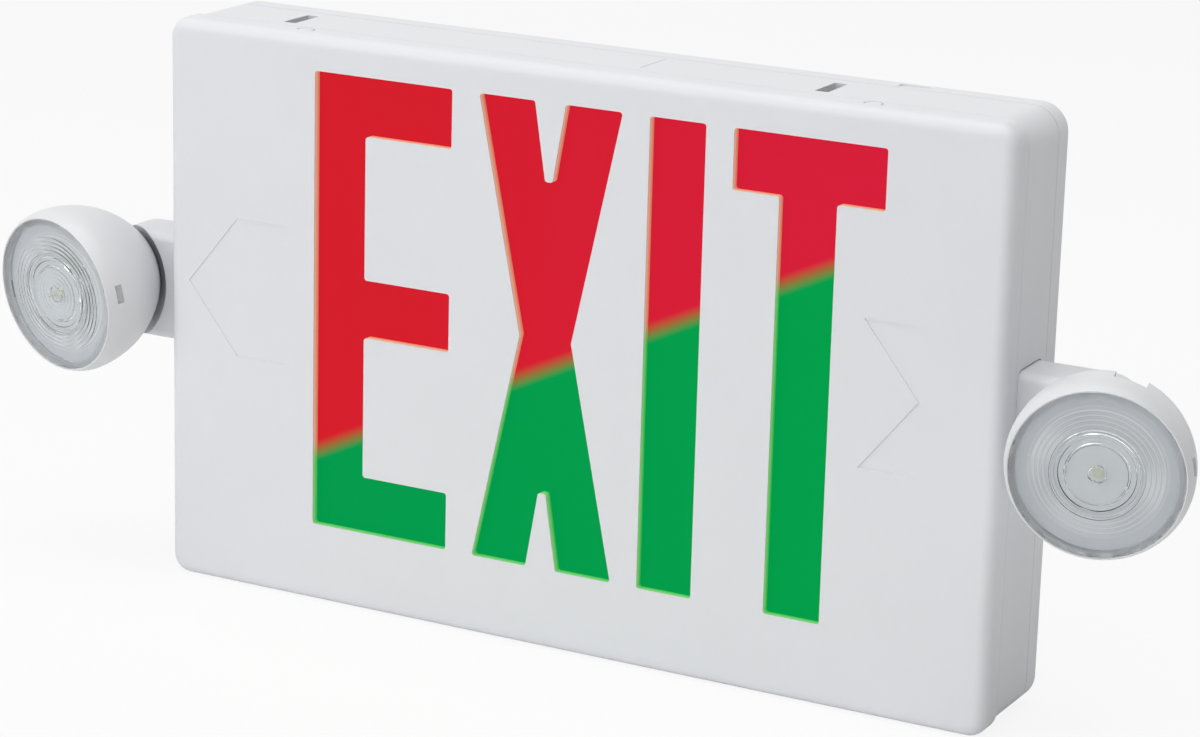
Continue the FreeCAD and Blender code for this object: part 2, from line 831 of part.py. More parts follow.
def core_middle():
    """Place of the transformer across and up."""
    return size("core_place_across"), half_height - size("core_drop")


# Lit sign


def panel_depths():
    front = size("depth") - size("face_thickness")
    return front - size("panel_thickness"), front


def make_letter_diffuser():
    """Two-coloured panel that lies against the back of the face."""
    body = new_body("letter_diffuser")
    near, far = panel_depths()
    outline = sketch_on(body, "PanelOutline", "XZ_Plane", near)
    wide = half_width - size("shell_wall") - size("panel_clearance")
    tall = half_height - size("shell_wall") - size("panel_clearance")
    radius = size("corner_radius") - size("shell_wall")
    draw_rounded(outline, -wide, wide, -tall, tall, radius)
    pad(body, "Panel", outline, far - near)
    return body


def make_light_tray():
    """White reflector tray open to the letter panel."""
    body = new_body("light_tray")
    near, far = panel_depths()
    wide = tray_half_width
    tall = tray_half_height
    wall = size("tray_wall")
    outline = sketch_on(body, "TrayOutline", "XZ_Plane", size("tray_back_depth"))
    draw_rectangle(outline, -wide, wide, -tall, tall)
    pad(body, "TraySlab", outline, near - size("tray_back_depth"))
    inner = sketch_on(body, "TrayHollowOutline", "XZ_Plane", near)
    draw_rectangle(inner, wall - wide, wide - wall, wall - tall, tall - wall)
    pocket(body, "TrayHollow", inner, near - size("tray_back_depth") - wall)
    holes = sketch_on(body, "TrayHoleOutlines", "XZ_Plane", near)
    for place in tray_places():
        draw_circle(holes, place, size("screw_radius") + size("screw_hole_clearance"))
    gap = size("panel_clearance")
    left, right, low, high = plug_span()
    draw_rectangle(holes, left - gap, right + gap, low - gap, high + gap)
    pocket(body, "TrayHoles", holes, near)
    return body


def plug_span():
    """Sides of the plug that feeds the light strips."""
    middle = size("board_left") + board_run / 4
    half = size("socket_width") * 0.75
    tall = size("strip_width") / 2 - 2
    return middle - half, middle + half, -strip_offset - tall, tall - strip_offset


def make_sign_lights():
    """Two light strips with their diodes, the ribbon between them and the plug."""
    near = size("tray_back_depth") + size("tray_wall")
    far = near + size("strip_thickness")
    half = strip_half
    tall = size("strip_width") / 2
    strips = []
    diodes = []
    for name, up in (("upper", strip_offset), ("lower", -strip_offset)):
        strips.append(block("strip_" + name, -half, half, near, far, up - tall, up + tall))
        for step in range(-4, 5):
            middle = (strip_half - size("diode_end_gap")) / 4 * step
            reach = size("diode_width") / 2
            diodes.append(block("diode_%s_%d" % (name, step + 4), middle - reach, middle + reach,
                                far, far + size("diode_thickness"), up - reach, up + reach))
    place = size("ribbon_place")
    reach = size("ribbon_width") / 2
    end = strip_offset - tall
    ribbon = block("strip_ribbon", place - reach, place + reach, near, near + size("ribbon_thickness"),
                   -end, end)
    left, right, low, high = plug_span()
    board_front = size("board_depth") + size("board_thickness")
    plug = block("sign_plug", left, right, board_front, near, low, high)
    return group("light_strips", strips), group("sign_diodes", diodes), ribbon, plug


# Supply and battery


def make_control_board():
    """Circuit board with its fixing holes."""
    left = size("board_left")
    low = board_bottom
    near = size("board_depth")
    far = near + size("board_thickness")
    plate = block("board_blank", left, board_right, near, far, low, low + size("board_height"))
    drill = size("screw_radius") + size("screw_hole_clearance")
    holes = [rod("board_hole_%d" % i, drill, x, near - 1, far + 1, z)
             for i, (x, z) in enumerate(board_places())]
    return cut("control_board", plate, holes)


def socket_places():
    """Left, right and battery lead sockets: left side, low side."""
    left = size("board_left")
    right = board_right - size("socket_width")
    low = board_bottom + size("socket_rise")
    high = low + size("socket_step")
    return [(left, high), (right, high), (left, low)]


def make_board_parts():
    """Capacitors, lead sockets and the driver transistors."""
    near = size("board_depth") + size("board_thickness")
    radius = size("capacitor_radius")
    left = size("board_left")
    low = board_bottom
    caps = []
    for i in range(2):
        across = left + size("capacitor_place") + size("capacitor_pitch") * i
        caps.append(rod("capacitor_%d" % i, radius, across, near, near + size("capacitor_height"),
                        low + size("capacitor_rise")))
    sockets = []
    for i, (x, z) in enumerate(socket_places()):
        sockets.append(block("socket_%d" % i, x, x + size("socket_width"), near,
                             near + size("socket_height"), z, z + size("socket_run")))
    chips = []
    base = low + size("transistor_rise")
    for i in range(2):
        across = board_right - size("transistor_inset") + size("transistor_pitch") * i
        chips.append(block("transistor_%d" % i, across, across + size("transistor_width"), near,
                           near + size("transistor_thickness"), base, base + size("transistor_height")))
    return group("capacitors", caps), group("lead_sockets", sockets), group("transistors", chips)


def make_transformer():
    """Laminated core with feet, and the coil round its centre limb."""
    across, up = core_middle()
    near = size("back_floor") + size("coil_build")
    far = near + size("core_thickness")
    wide = size("core_width") / 2
    tall = size("core_height") / 2
    limb = size("core_limb")
    centre = size("core_centre_limb") / 2
    blank = block("core_blank", across - wide, across + wide, near, far, up - tall, up + tall)
    gaps = []
    for i, (low, high) in enumerate(((-wide + limb, -centre), (centre, wide - limb))):
        gaps.append(block("core_window_%d" % i, across + low, across + high, near - 1, far + 1,
                          up - tall + limb, up + tall - limb))
    laminations = cut("core_laminations", blank, gaps)
    foot = size("core_foot")
    feet = []
    for i, side in enumerate((-1, 1)):
        inner = across + (wide - limb / 2) * side
        outer = across + (wide + foot) * side
        left, right = (outer, inner) if side < 0 else (inner, outer)
        feet.append(block("core_foot_%d" % i, left, right, size("back_floor"),
                          size("back_floor") + size("core_foot_thickness"), up - foot / 2, up + foot / 2))
    core = fuse("transformer_core", [laminations] + feet)
    gap = size("coil_clearance")
    build = size("coil_build") - gap
    outer = block("coil_blank", across - wide + limb + gap, across + wide - limb - gap,
                  near - build, far + build, up - tall + limb + gap, up + tall - limb - gap)
    inner = block("coil_window", across - centre - gap, across + centre + gap, near - gap, far + gap,
                  up - tall, up + tall)
    coil = cut("transformer_coil", outer, [inner])
    return core, coil


def make_terminal():
    """Supply terminal block above the cable hole."""
    near = size("back_floor")
    far = near + size("terminal_depth")
    half = size("terminal_width") / 2
    up = size("terminal_place_up")
    tall = size("terminal_height") / 2
    blank = block("terminal_blank", -half, half, near, far, up - tall, up + tall)
    wells = []
    for step in (-1, 0, 1):
        across = size("terminal_pitch") * step
        wells.append(rod("terminal_well_%d" % (step + 1), size("terminal_well_radius"), across,
                         near + size("terminal_depth") / 2, far + 1, up))
    return cut("supply_terminal", blank, wells)


def battery_span():
    """Inner sides of the battery holder."""
    gap = size("cell_clearance")
    left = size("battery_inset") - half_width
    low = size("battery_rise") - half_height
    return left, left + size("cell_length") + gap * 2, low, low + size("cell_radius") * 6 + gap * 4


def make_battery():
    """Three cells side by side in a moulded holder."""
    wall = size("holder_wall")
    near = size("back_floor")
    left, right, low, high = battery_span()
    blank = block("holder_blank", left - wall, right + wall, near, near + wall + size("holder_rise"),
                  low - wall, high + wall)
    space = block("holder_space", left, right, near + wall, near + wall + size("holder_rise") + 1, low, high)
    holder = cut("battery_holder", blank, [space])
    gap = size("cell_clearance")
    radius = size("cell_radius")
    cells = []
    for step in range(3):
        up = low + gap + radius + (radius * 2 + gap) * step
        cells.append(crossbar("cell_%d" % step, radius, left + gap, left + gap + size("cell_length"),
                              -(near + wall + radius), up))
    return holder, group("battery_cells", cells)


def make_screw(name, across, near, up, turned=False):
    """Pan head screw that enters toward the wall, its head on the given depth."""
    shank = rod(name + "_shank", size("screw_radius"), across, near - size("screw_length"), near, up)
    head = rod(name + "_head", size("screw_head_radius"), across, near, near + size("screw_head_height"), up)
    well = rod(name + "_well", size("screw_recess_radius"), across,
               near + size("screw_head_height") / 2, near + size("screw_head_height") + 1, up)
    return cut(name, fuse(name + "_body", [shank, head]), [well])


def make_screws():
    """All fixing screws inside the housing, one size throughout."""
    tray = size("tray_back_depth") + size("tray_wall")
    ear = size("arm_back_depth") + size("ear_thickness")
    board = size("board_depth") + size("board_thickness")
    seats = [(place, tray) for place in tray_places()]
    seats += [(place, ear) for place in ear_places()]
    screws = [make_screw("screw_%d" % i, x, near, z) for i, ((x, z), near) in enumerate(seats)]
    return group("fixing_screws", screws)


# Test button and pilot lamp


def make_test_button():
    """Round push button in the bottom wall, its plunger and the switch above."""
    floor = -half_height
    across = size("button_place")
    depth = size("button_depth")
    low = floor + size("button_sunk")
    top = low + size("button_length")
    seat = floor + size("frame_wall") + size("button_sleeve_length")
    shaft = upright("button_shaft", size("button_radius"), across, depth, low, top)
    collar = upright("button_collar", size("button_collar_radius"), across, depth,
                     seat + 0.1, seat + 0.1 + size("button_collar_height"))
    button = fuse("test_button", [shaft, collar])
    switch_low = board_bottom
    reach = switch_low + size("switch_height") / 2
    plunger = upright("switch_plunger", size("plunger_radius"), across, depth, top, reach)
    half = size("switch_width") / 2
    near = size("board_depth") + size("board_thickness")
    case = block("switch_case", across - half, across + half, near, depth + half,
                 switch_low, switch_low + size("switch_height"))
    bore = upright("switch_bore", size("plunger_radius") + size("button_clearance"), across, depth,
                   switch_low - 1, reach + size("button_travel") + size("button_clearance"))
    return button, plunger, cut("test_switch", case, [bore])


def make_pilot_lamp():
    """Round diode in the bottom wall with two legs to the board."""
    across = size("pilot_place")
    depth = size("button_depth")
    low = -half_height + size("button_sunk")
    top = low + size("pilot_length")
    flange = size("pilot_radius") + 0.5
    lamp = upright("pilot_body", size("pilot_radius"), across, depth, low, top)
    rim = upright("pilot_rim", flange, across, depth, top - 1, top)
    legs = []
    half = size("pilot_leg") / 2
    board = size("board_depth") + size("board_thickness")
    turn = board_bottom + 2
    for i, side in enumerate((-1, 1)):
        middle = across + size("pilot_leg_pitch") / 2 * side
        left, right = middle - half, middle + half
        legs.append(block("pilot_leg_%d" % i, left, right, depth - half, depth + half, top - 1, turn))
        legs.append(block("pilot_foot_%d" % i, left, right, board, depth + half, turn - half * 2, turn))
    return fuse("pilot_lamp", [lamp, rim] + legs)


# Arm blocks


def in_head(thing):
    """Set a piece that was drawn about the lamp axis at the right head."""
    thing.Placement = RIGHT.multiply(thing.Placement)
    return thing


def lamp_rod(name, radius, start, end):
    """A round bar along the lamp axis, from a distance behind the pivot to another."""
    thing = doc.addObject("Part::Cylinder", name)
    bind(thing, "Radius", radius)
    bind(thing, "Height", start - end)
    thing.Placement.Base = FreeCAD.Vector(0, 0, -as_size(start).value)
    return thing


def make_arm_block():
    """Fixed arm that leaves the side wall and ends in a round seat behind the lamp."""
    body = new_body("arm_bar")
    outline = sketch_on(body, "ArmOutline", "XZ_Plane", size("arm_back_depth"))
    low = size("arm_bottom")
    high = size("arm_top")
    inner = arm_inner
    outer = arm_outer
    radius = size("arm_corner_radius")
    bottom = draw_line(outline, (inner, low), (outer - radius, low))
    side = draw_line(outline, (outer, low + radius), (outer, high - radius))
    top = draw_line(outline, (outer - radius, high), (inner, high))
    end = draw_line(outline, (inner, high), (inner, low))
    lower = draw_arc(outline, (outer - radius, low + radius), radius, -90, 0)
    upper = draw_arc(outline, (outer - radius, high - radius), radius, 0, 90)
    hold_point(outline, bottom, 1, (inner, low))
    hold_point(outline, bottom, 2, (outer - radius, low))
    hold_point(outline, side, 1, (outer, low + radius))
    hold_point(outline, side, 2, (outer, high - radius))
    hold_point(outline, top, 1, (outer - radius, high))
    hold_point(outline, top, 2, (inner, high))
    for first, last in (((lower, 1), (bottom, 2)), ((lower, 2), (side, 1)), ((upper, 1), (side, 2)),
                        ((upper, 2), (top, 1)), ((end, 1), (top, 2)), ((end, 2), (bottom, 1))):
        join(outline, first[0], first[1], last[0], last[1])
    hold(outline, "Radius", (lower,), radius)
    hold(outline, "Radius", (upper,), radius)
    bar = pad(body, "ArmBar", outline, size("arm_front_depth") - size("arm_back_depth"))
    edge_at = inner.value + 0.01
    depths = (-size("arm_back_depth").value, -size("arm_front_depth").value)
    round_edges(body, "ArmRounding", bar, size("arm_edge_radius"),
                lambda edge: edge.BoundBox.YLength < 0.01 and edge.BoundBox.XMax > edge_at
                and min(abs(edge.BoundBox.YMin - depth) for depth in depths) < 0.01)
    ear = block("arm_ear", ear_inner, half_width - size("frame_wall") - size("arm_slot_clearance"),
                size("arm_back_depth"), size("arm_back_depth") + size("ear_thickness"),
                -size("ear_half_height"), size("ear_half_height"))
    boss = lamp_rod("arm_boss", size("arm_boss_radius"), size("arm_boss_end"), size("neck_flange_front"))
    return finish_arm(fuse("arm_solid", [body, ear, in_head(boss)]))


def finish_arm(solid):
    """Cut the round seat, the neck bore, its recesses, the duct and the screw holes."""
    ball = primitive("Sphere", "arm_seat_ball", None, None, Radius=size("seat_radius"))
    in_head(ball)
    recess_back = size("neck_flange_front") + size("neck_flange_thickness") + size("neck_flange_clearance")
    recess = in_head(lamp_rod("arm_flange_recess", size("neck_flange_radius") + size("seat_clearance"),
                              recess_back, size("dome_pole") - 8))
    bore = in_head(lamp_rod("arm_neck_bore", size("neck_radius") + size("neck_bore_clearance"),
                            size("arm_boss_end") + 2, size("dome_pole")))
    well = in_head(lamp_rod("arm_clip_well", size("clip_well_radius"),
                            size("arm_boss_end") + 2, size("neck_bearing_end")))
    entry = (ear_inner, -size("lead_duct_depth"), size("lead_duct_height"))
    duct = primitive("Cylinder", "arm_duct", entry,
                     ((0, 1, 0), 90), Radius=size("lead_duct_radius"),
                     Height=pivot_across - ear_inner - size("dome_radius") / 2)
    tools = [ball, recess, bore, well, duct]
    drill = size("screw_radius") + size("screw_hole_clearance")
    for i, side in enumerate((-1, 1)):
        tools.append(rod("arm_screw_hole_%d" % i, drill, ear_screw, size("arm_back_depth") - 1,
                         size("arm_back_depth") + size("ear_thickness") + 1, size("ear_screw_offset") * side))
    return cut("arm_block_right", solid, tools)


def mirror(name, source):
    thing = doc.addObject("Part::Mirroring", name)
    thing.Source = source
    thing.Normal = FreeCAD.Vector(1, 0, 0)
    return thing


# Lamp heads


def make_neck(tag):
    """Turning neck: flange, bearing, clip groove and the eye for the tilt pin."""
    radius = size("neck_radius")
    eye = size("neck_eye_radius")
    half = size("neck_eye_thickness") / 2
    flange_back = size("neck_flange_front") + size("neck_flange_thickness")
    groove_front = size("neck_bearing_end") + size("clip_clearance")
    groove_back = groove_front + size("clip_thickness")
    pieces = [
        lamp_rod("neck_shaft_" + tag, radius, groove_front, size("neck_bar_length")),
        lamp_rod("neck_groove_" + tag, size("clip_inner_radius"), groove_back, groove_front),
        lamp_rod("neck_tail_" + tag, radius, size("neck_end"), groove_back),
        lamp_rod("neck_flange_" + tag, size("neck_flange_radius"), flange_back, size("neck_flange_front")),
        box("neck_bar_" + tag, (-half, half), (-eye, eye), (-size("neck_bar_length"), as_size(0))),
        crossbar("neck_eye_" + tag, eye, -half, half, 0, 0),
    ]
    drill = size("pin_radius") + size("pin_clearance")
    hole = crossbar("neck_pin_hole_" + tag, drill, -half - 1, half + 1, 0, 0)
    wires = lamp_rod("neck_wire_hole_" + tag, size("neck_hole_radius"), size("neck_end") + 1,
                     size("neck_bar_length") / 2)
    return cut("neck_" + tag, fuse("neck_solid_" + tag, pieces), [hole, wires])


def make_clip(tag):
    """Open spring ring in the groove of the neck."""
    front = size("neck_bearing_end") + size("clip_clearance")
    back = front + size("clip_thickness")
    ring = lamp_rod("clip_ring_" + tag, size("clip_outer_radius"), back, front)
    hole = lamp_rod("clip_hole_" + tag, size("clip_inner_radius"), back + 1, front - 1)
    half = size("clip_gap") / 2
    reach = size("clip_outer_radius") + 1
    gap = box("clip_mouth_" + tag, (-half, half), (as_size(0), reach), (-back - 1, 1 - front))
    return cut("neck_clip_" + tag, ring, [hole, gap])


def make_pin(tag):
    """Tilt pin through both lugs and the neck's eye."""
    reach = size("lug_inner") + size("lug_thickness")
    tail = -reach - size("pin_head_height") / 2
    shank = crossbar("pin_shank_" + tag, size("pin_radius"), tail, reach, 0, 0)
    head = crossbar("pin_head_" + tag, size("pin_head_radius"), reach, reach + size("pin_head_height"), 0, 0)
    return fuse("tilt_pin_" + tag, [shank, head])


def make_head_shell(tag):
    """Domed shell of the lamp head with the neck slot and the snap windows."""
    body = new_body("dome_" + tag)
    profile = sketch_on(body, "DomeProfile_" + tag, "XZ_Plane", 0)
    draw_dome_profile(profile)
    turn = body.newObject("PartDesign::Revolution", "Dome_" + tag)
    turn.Profile = profile
    turn.ReferenceAxis = (profile, ["V_Axis"])
    turn.Angle = 360
    doc.recompute()
    half = size("head_slot_width") / 2
    reach = size("dome_radius") + 2
    back = -size("dome_pole") - 2
    tools = [
        box("slot_run_" + tag, (-half, half), (as_size(0), reach), (back, size("head_slot_front"))),
        primitive("Cylinder", "slot_back_" + tag, (0, 0, back), None, Radius=half,
                  Height=size("dome_wall") + 6),
    ]
    across = size("snap_width") / 2
    for i, extra in enumerate((0, 180)):
        window = box("snap_window_%s_%d" % (tag, i), (-across, across), (size("bore_radius") - 2, reach),
                     (size("snap_back"), size("snap_front")))
        tools.append(turned(window, size("snap_angle").value + extra))
    return cut("head_shell_" + tag, body, tools)


def turned(thing, angle):
    """Turn a piece about the lamp axis, clockwise from the slot as seen from the front."""
    spin = FreeCAD.Placement(FreeCAD.Vector(), FreeCAD.Rotation(FreeCAD.Vector(0, 0, 1), -angle))
    doc.recompute()
    holder = doc.addObject("Part::Compound", thing.Name + "_turned")
    holder.Links = [thing]
    holder.Placement = spin
    return holder


def draw_dome_profile(profile):
    """Three tangent arcs outside, the lens seat and bore, and two arcs inside."""
    pole = -size("dome_pole")
    wall = size("dome_wall")
    widest = (size("dome_radius"), size("dome_widest"))
    side_radius = size("dome_side_radius")
    rim = (size("rim_radius"), size("rim_reach"))
    bore = size("bore_radius")
    side_x = widest[0].value - side_radius.value
    rise = widest[1].value - pole.value
    cap = (side_radius.value ** 2 - side_x ** 2 - rise ** 2) / (2 * (side_radius.value - rise))
    cap_y = pole.value + cap
    angle = math.degrees(math.atan2(cap_y - widest[1].value, -side_x))
    drop = rim[1].value - widest[1].value
    pull = widest[0].value - rim[0].value
    front = (drop ** 2 + pull ** 2) / (2 * pull)
    lift = math.degrees(math.asin(drop / front))
    inner = side_radius.value - wall.value
    inner_end = -math.degrees(math.acos((bore.value - side_x) / inner))
    meet = widest[1].value + inner * math.sin(math.radians(inner_end))
    a = draw_arc(profile, (0, cap_y), cap, -90, angle)
    b = draw_arc(profile, (side_x, widest[1].value), side_radius, angle, 0)
    c = draw_arc(profile, (widest[0].value - front, widest[1].value), front, 0, lift)
    lip = rim[0] - size("rim_lip")
    seat = rim[1] - size("lens_seat")
    top = draw_line(profile, rim, (lip, rim[1]))
    step = draw_line(profile, (lip, rim[1]), (lip, seat))
    ledge = draw_line(profile, (lip, seat), (bore, seat))
    down = draw_line(profile, (bore, seat), (bore, meet))
    e = draw_arc(profile, (side_x, widest[1].value), inner, angle, inner_end)
    f = draw_arc(profile, (0, cap_y), cap - wall.value, -90, angle)
    close = draw_line(profile, (0, pole + wall), (0, pole))
    add = profile.addConstraint
    add(Sketcher.Constraint("PointOnObject", a, 3, -2))
    add(Sketcher.Constraint("PointOnObject", a, 1, -2))
    hold(profile, "DistanceY", (-1, 1, a, 1), pole)
    add(Sketcher.Constraint("Tangent", a, 2, b, 1))
    hold_point(profile, b, 2, widest)
    hold(profile, "DistanceY", (-1, 1, b, 3), widest[1])
    hold(profile, "Radius", (b,), side_radius)
    add(Sketcher.Constraint("Tangent", b, 2, c, 1))
    hold_point(profile, c, 2, rim)
    join(profile, top, 1, c, 2)
    hold_point(profile, top, 2, (lip, rim[1]))
    join(profile, step, 1, top, 2)
    hold_point(profile, step, 2, (lip, seat))
    join(profile, ledge, 1, step, 2)
    hold_point(profile, ledge, 2, (bore, seat))
    join(profile, down, 1, ledge, 2)
    add(Sketcher.Constraint("Vertical", down))
    join(profile, down, 2, e, 2)
    join(profile, e, 3, b, 3)
    join(profile, f, 3, a, 3)
    add(Sketcher.Constraint("PointOnObject", f, 1, -2))
    hold(profile, "DistanceY", (-1, 1, f, 1), pole + wall)
    add(Sketcher.Constraint("Tangent", f, 2, e, 1))
    join(profile, close, 1, f, 1)
    join(profile, close, 2, a, 1)


def make_head_frame(tag):
    """Plate that carries the lamp board, with two lugs for the tilt pin and two snap tabs."""
    back = size("plate_back")
    front = back + size("plate_thickness")
    radius = size("bore_radius") - size("seat_clearance")
    inner = size("lug_inner")
    outer = inner + size("lug_thickness")
    lug = size("lug_radius")
    pieces = [primitive("Cylinder", "plate_disc_" + tag, (0, 0, back), None, Radius=radius,
                        Height=front - back)]
    holes = []
    for i, side in enumerate((-1, 1)):
        left, right = (-outer, -inner) if side < 0 else (inner, outer)
        pieces.append(box("lug_web_%s_%d" % (tag, i), (left, right), (-lug, lug), (as_size(0), back + 0.2)))
        pieces.append(crossbar("lug_eye_%s_%d" % (tag, i), lug, left, right, 0, 0))
        holes.append(crossbar("lug_hole_%s_%d" % (tag, i), size("pin_radius"), left - 1, right + 1, 0, 0))
    for i, extra in enumerate((0, 180)):
        pieces.append(turned(make_snap_tab("snap_tab_%s_%d" % (tag, i)), size("snap_angle").value + extra))
    return cut("head_frame_" + tag, fuse("head_frame_solid_" + tag, pieces), holes)


def make_snap_tab(name):
    """Tab on the plate's edge that fills a snap window, with a ramp toward the front."""
    body = new_body(name)
    gap = size("snap_clearance")
    across = size("snap_width") / 2 - gap
    root = size("bore_radius") - size("seat_clearance") - 2
    wall = size("bore_radius") + gap / 2
    tip = size("dome_radius") - size("rim_lip")
    low = size("snap_back") + gap
    high = size("snap_front") - gap
    plate = size("plate_back") + size("plate_thickness")
    outline = sketch_on(body, name + "_outline", "YZ_Plane", -across)
    draw_polygon(outline, [(root, low), (tip, low), (tip - size("snap_ramp"), high), (wall, high),
                           (wall, plate), (root, plate)])
    pad(body, name + "_pad", outline, across * 2)
    return body


def make_lamp(tag):
    """Lamp board, its diode and the clear lens with the collimator."""
    back = size("plate_back") + size("plate_thickness")
    front = back + size("lamp_board_thickness")
    radius = size("bore_radius") - size("seat_clearance")
    disc = primitive("Cylinder", "lamp_disc_" + tag, (0, 0, back), None, Radius=radius, Height=front - back)
    half = size("lamp_diode_width") / 2
    chip = box("lamp_chip_" + tag, (-half, half), (-half, half), (front, front + size("lamp_diode_height")))
    board = group("lamp_board_" + tag, [disc])
    diode = group("lamp_diode_" + tag, [chip])
    body = new_body("lens_" + tag)
    profile = sketch_on(body, "LensProfile_" + tag, "XZ_Plane", 0)
    edge = size("lens_edge")
    crown = size("lens_crown")
    under = edge - size("lens_plate")
    skirt = radius - size("lens_skirt")
    flange = size("rim_radius") - size("rim_lip") - size("lens_gap")
    seat = size("rim_reach") - size("lens_seat")
    zero = as_size(0)
    cup = size("collimator_cup")
    roof = size("collimator_roof")
    reach = size("collimator_reach")
    outline = [(zero, crown), (zero, roof), (cup, roof), (cup, reach), (size("collimator_foot"), reach),
               (size("collimator_radius"), under), (skirt, under), (skirt, front), (radius, front),
               (radius, seat), (flange, seat), (flange, edge)]
    edges = [draw_line(profile, outline[i], outline[i + 1]) for i in range(len(outline) - 1)]
    for i, line in enumerate(edges):
        hold_point(profile, line, 1, outline[i])
        if i:
            join(profile, edges[i - 1], 2, line, 1)
    hold_point(profile, edges[-1], 2, outline[-1])
    rise = crown.value - edge.value
    dome = (flange.value ** 2 + rise ** 2) / (2 * rise)
    start = math.degrees(math.asin((dome - rise) / dome))
    arc = draw_arc(profile, (0, crown.value - dome), dome, start, 90)
    join(profile, arc, 1, edges[-1], 2)
    join(profile, arc, 2, edges[0], 1)
    profile.addConstraint(Sketcher.Constraint("PointOnObject", arc, 3, -2))
    turn = body.newObject("PartDesign::Revolution", "Lens_" + tag)
    turn.Profile = profile
    turn.ReferenceAxis = (profile, ["V_Axis"])
    turn.Angle = 360
    doc.recompute()
    return board, diode, body


def make_head(tag, place):
    """All pieces of one lamp head, set at its pivot."""
    board, diode, lens = make_lamp(tag)
    pieces = {
        "neck_" + tag: make_neck(tag),
        "neck_clip_" + tag: make_clip(tag),
        "tilt_pin_" + tag: make_pin(tag),
        "head_shell_" + tag: make_head_shell(tag),
        "head_frame_" + tag: make_head_frame(tag),
        "lamp_board_" + tag: board,
        "lamp_diode_" + tag: diode,
        "lens_" + tag: lens,
    }
    doc.recompute()
    for label, piece in pieces.items():
        piece.Placement = place.multiply(piece.Placement)
    return pieces


# Leads


def lead_path(points):
    """Straight runs joined by tangent arcs, as large as the shorter run allows."""
    points = [FreeCAD.Vector(*p) for p in points]
    edges = []
    radii = []
    start = points[0]
    for i in range(1, len(points) - 1):
        back = points[i - 1] - points[i]
        ahead = points[i + 1] - points[i]
        run = min(back.Length, ahead.Length)
        half_turn = (math.pi - back.getAngle(ahead)) / 2
        set_back = 0.45 * run
        radii.append(set_back / math.tan(half_turn))
        back.normalize()
        ahead.normalize()
        enter = points[i] + back * set_back
        leave = points[i] + ahead * set_back
        middle = back + ahead
        middle.normalize()
        crown = points[i] + middle * (radii[-1] / math.cos(half_turn) - radii[-1])
        edges.append(Part.makeLine(start, enter))
        edges.append(Part.Arc(enter, crown, leave).toShape())
        start = leave
    edges.append(Part.makeLine(start, points[-1]))
    return Part.Wire(edges), radii


def make_leads(name, points, apart):
    """A pair of leads side by side along one route."""
    radius = size("lead_radius").value
    half = size("lead_pitch").value / 2
    solids = []
    for side in (-1, 1):
        route = [tuple(a + b * side * half for a, b in zip(point, apart)) for point in points]
        wire, radii = lead_path(route)
        first = FreeCAD.Vector(*route[1]) - FreeCAD.Vector(*route[0])
        profile = Part.Wire([Part.makeCircle(radius, FreeCAD.Vector(*route[0]), first)])
        tube = wire.makePipeShell([profile], True, False)
        solids.append(tube)
        ideal = math.pi * radius ** 2 * wire.Length
        print(name, "bend radii", [round(r, 1) for r in radii], "volume ratio", round(tube.Volume / ideal, 4))
    thing = doc.addObject("Part::Feature", name)
    thing.Shape = Part.makeCompound(solids)
    return thing


def make_all_leads():
    """Lamp leads from the board to each arm and the battery leads."""
    out = (0.0, 0.0, 1.0)
    depth = -size("lead_duct_depth").value
    up = size("lead_duct_height").value
    places = socket_places()
    middle = size("socket_run").value / 2
    arm_end = arm_inner.value + 10.0
    left_x = places[0][0].value
    left_z = places[0][1].value + middle
    right_x = places[1][0].value + size("socket_width").value
    right_z = places[1][1].value + middle
    battery_x = places[2][0].value
    battery_z = places[2][1].value + middle
    holder_x = battery_span()[1].value + size("holder_wall").value
    leads = {}
    run = arm_inner.value - right_x
    rise = up - right_z
    right = [(right_x, depth, right_z), (right_x + run * 0.4, depth, right_z),
             (right_x + run * 0.61, depth, right_z + rise * 0.26),
             (right_x + run * 0.58, depth, right_z + rise * 0.7),
             (right_x + run * 0.82, depth, up), (arm_end, depth, up)]
    leads["lamp_leads_right"] = make_leads("lamp_leads_right", right, out)
    run = arm_inner.value + left_x
    gap = size("lead_core_gap").value
    core_low = (core_middle()[1] - size("core_height") / 2).value
    left = [(left_x, depth, left_z), (left_x - run * 0.21, depth, left_z),
            (left_x - run * 0.265, depth, core_low - gap * 2), (left_x - run * 0.64, depth, core_low - gap),
            (left_x - run * 0.88, depth, up), (-arm_end, depth, up)]
    leads["lamp_leads_left"] = make_leads("lamp_leads_left", left, out)
    run = battery_x - holder_x
    high = battery_z + size("socket_run").value * 0.8
    battery = [(battery_x, depth + 4, battery_z), (battery_x - run * 0.32, depth + 4, battery_z),
               (holder_x + run * 0.32, depth + 4, high), (holder_x, depth + 4, high)]
    leads["battery_leads"] = make_leads("battery_leads", battery, out)
    return leads


# The whole part

pieces = {}
pieces["front_faceplate"] = make_front_faceplate()
pieces["housing_frame"] = make_housing_frame()
pieces["back_plate"] = make_back_plate()
pieces["letter_diffuser"] = make_letter_diffuser()
pieces["light_tray"] = make_light_tray()
strips, diodes, ribbon, plug = make_sign_lights()
pieces["light_strips"] = strips
pieces["sign_diodes"] = diodes
pieces["strip_ribbon"] = ribbon
pieces["sign_plug"] = plug
pieces["control_board"] = make_control_board()
capacitors, sockets, transistors = make_board_parts()
pieces["capacitors"] = capacitors
pieces["lead_sockets"] = sockets
pieces["transistors"] = transistors
core, coil = make_transformer()
pieces["transformer_core"] = core
pieces["transformer_coil"] = coil
pieces["supply_terminal"] = make_terminal()
holder, cells = make_battery()
pieces["battery_holder"] = holder
pieces["battery_cells"] = cells
pieces["fixing_screws"] = make_screws()
button, plunger, switch = make_test_button()
pieces["test_button"] = button
pieces["switch_plunger"] = plunger
pieces["test_switch"] = switch
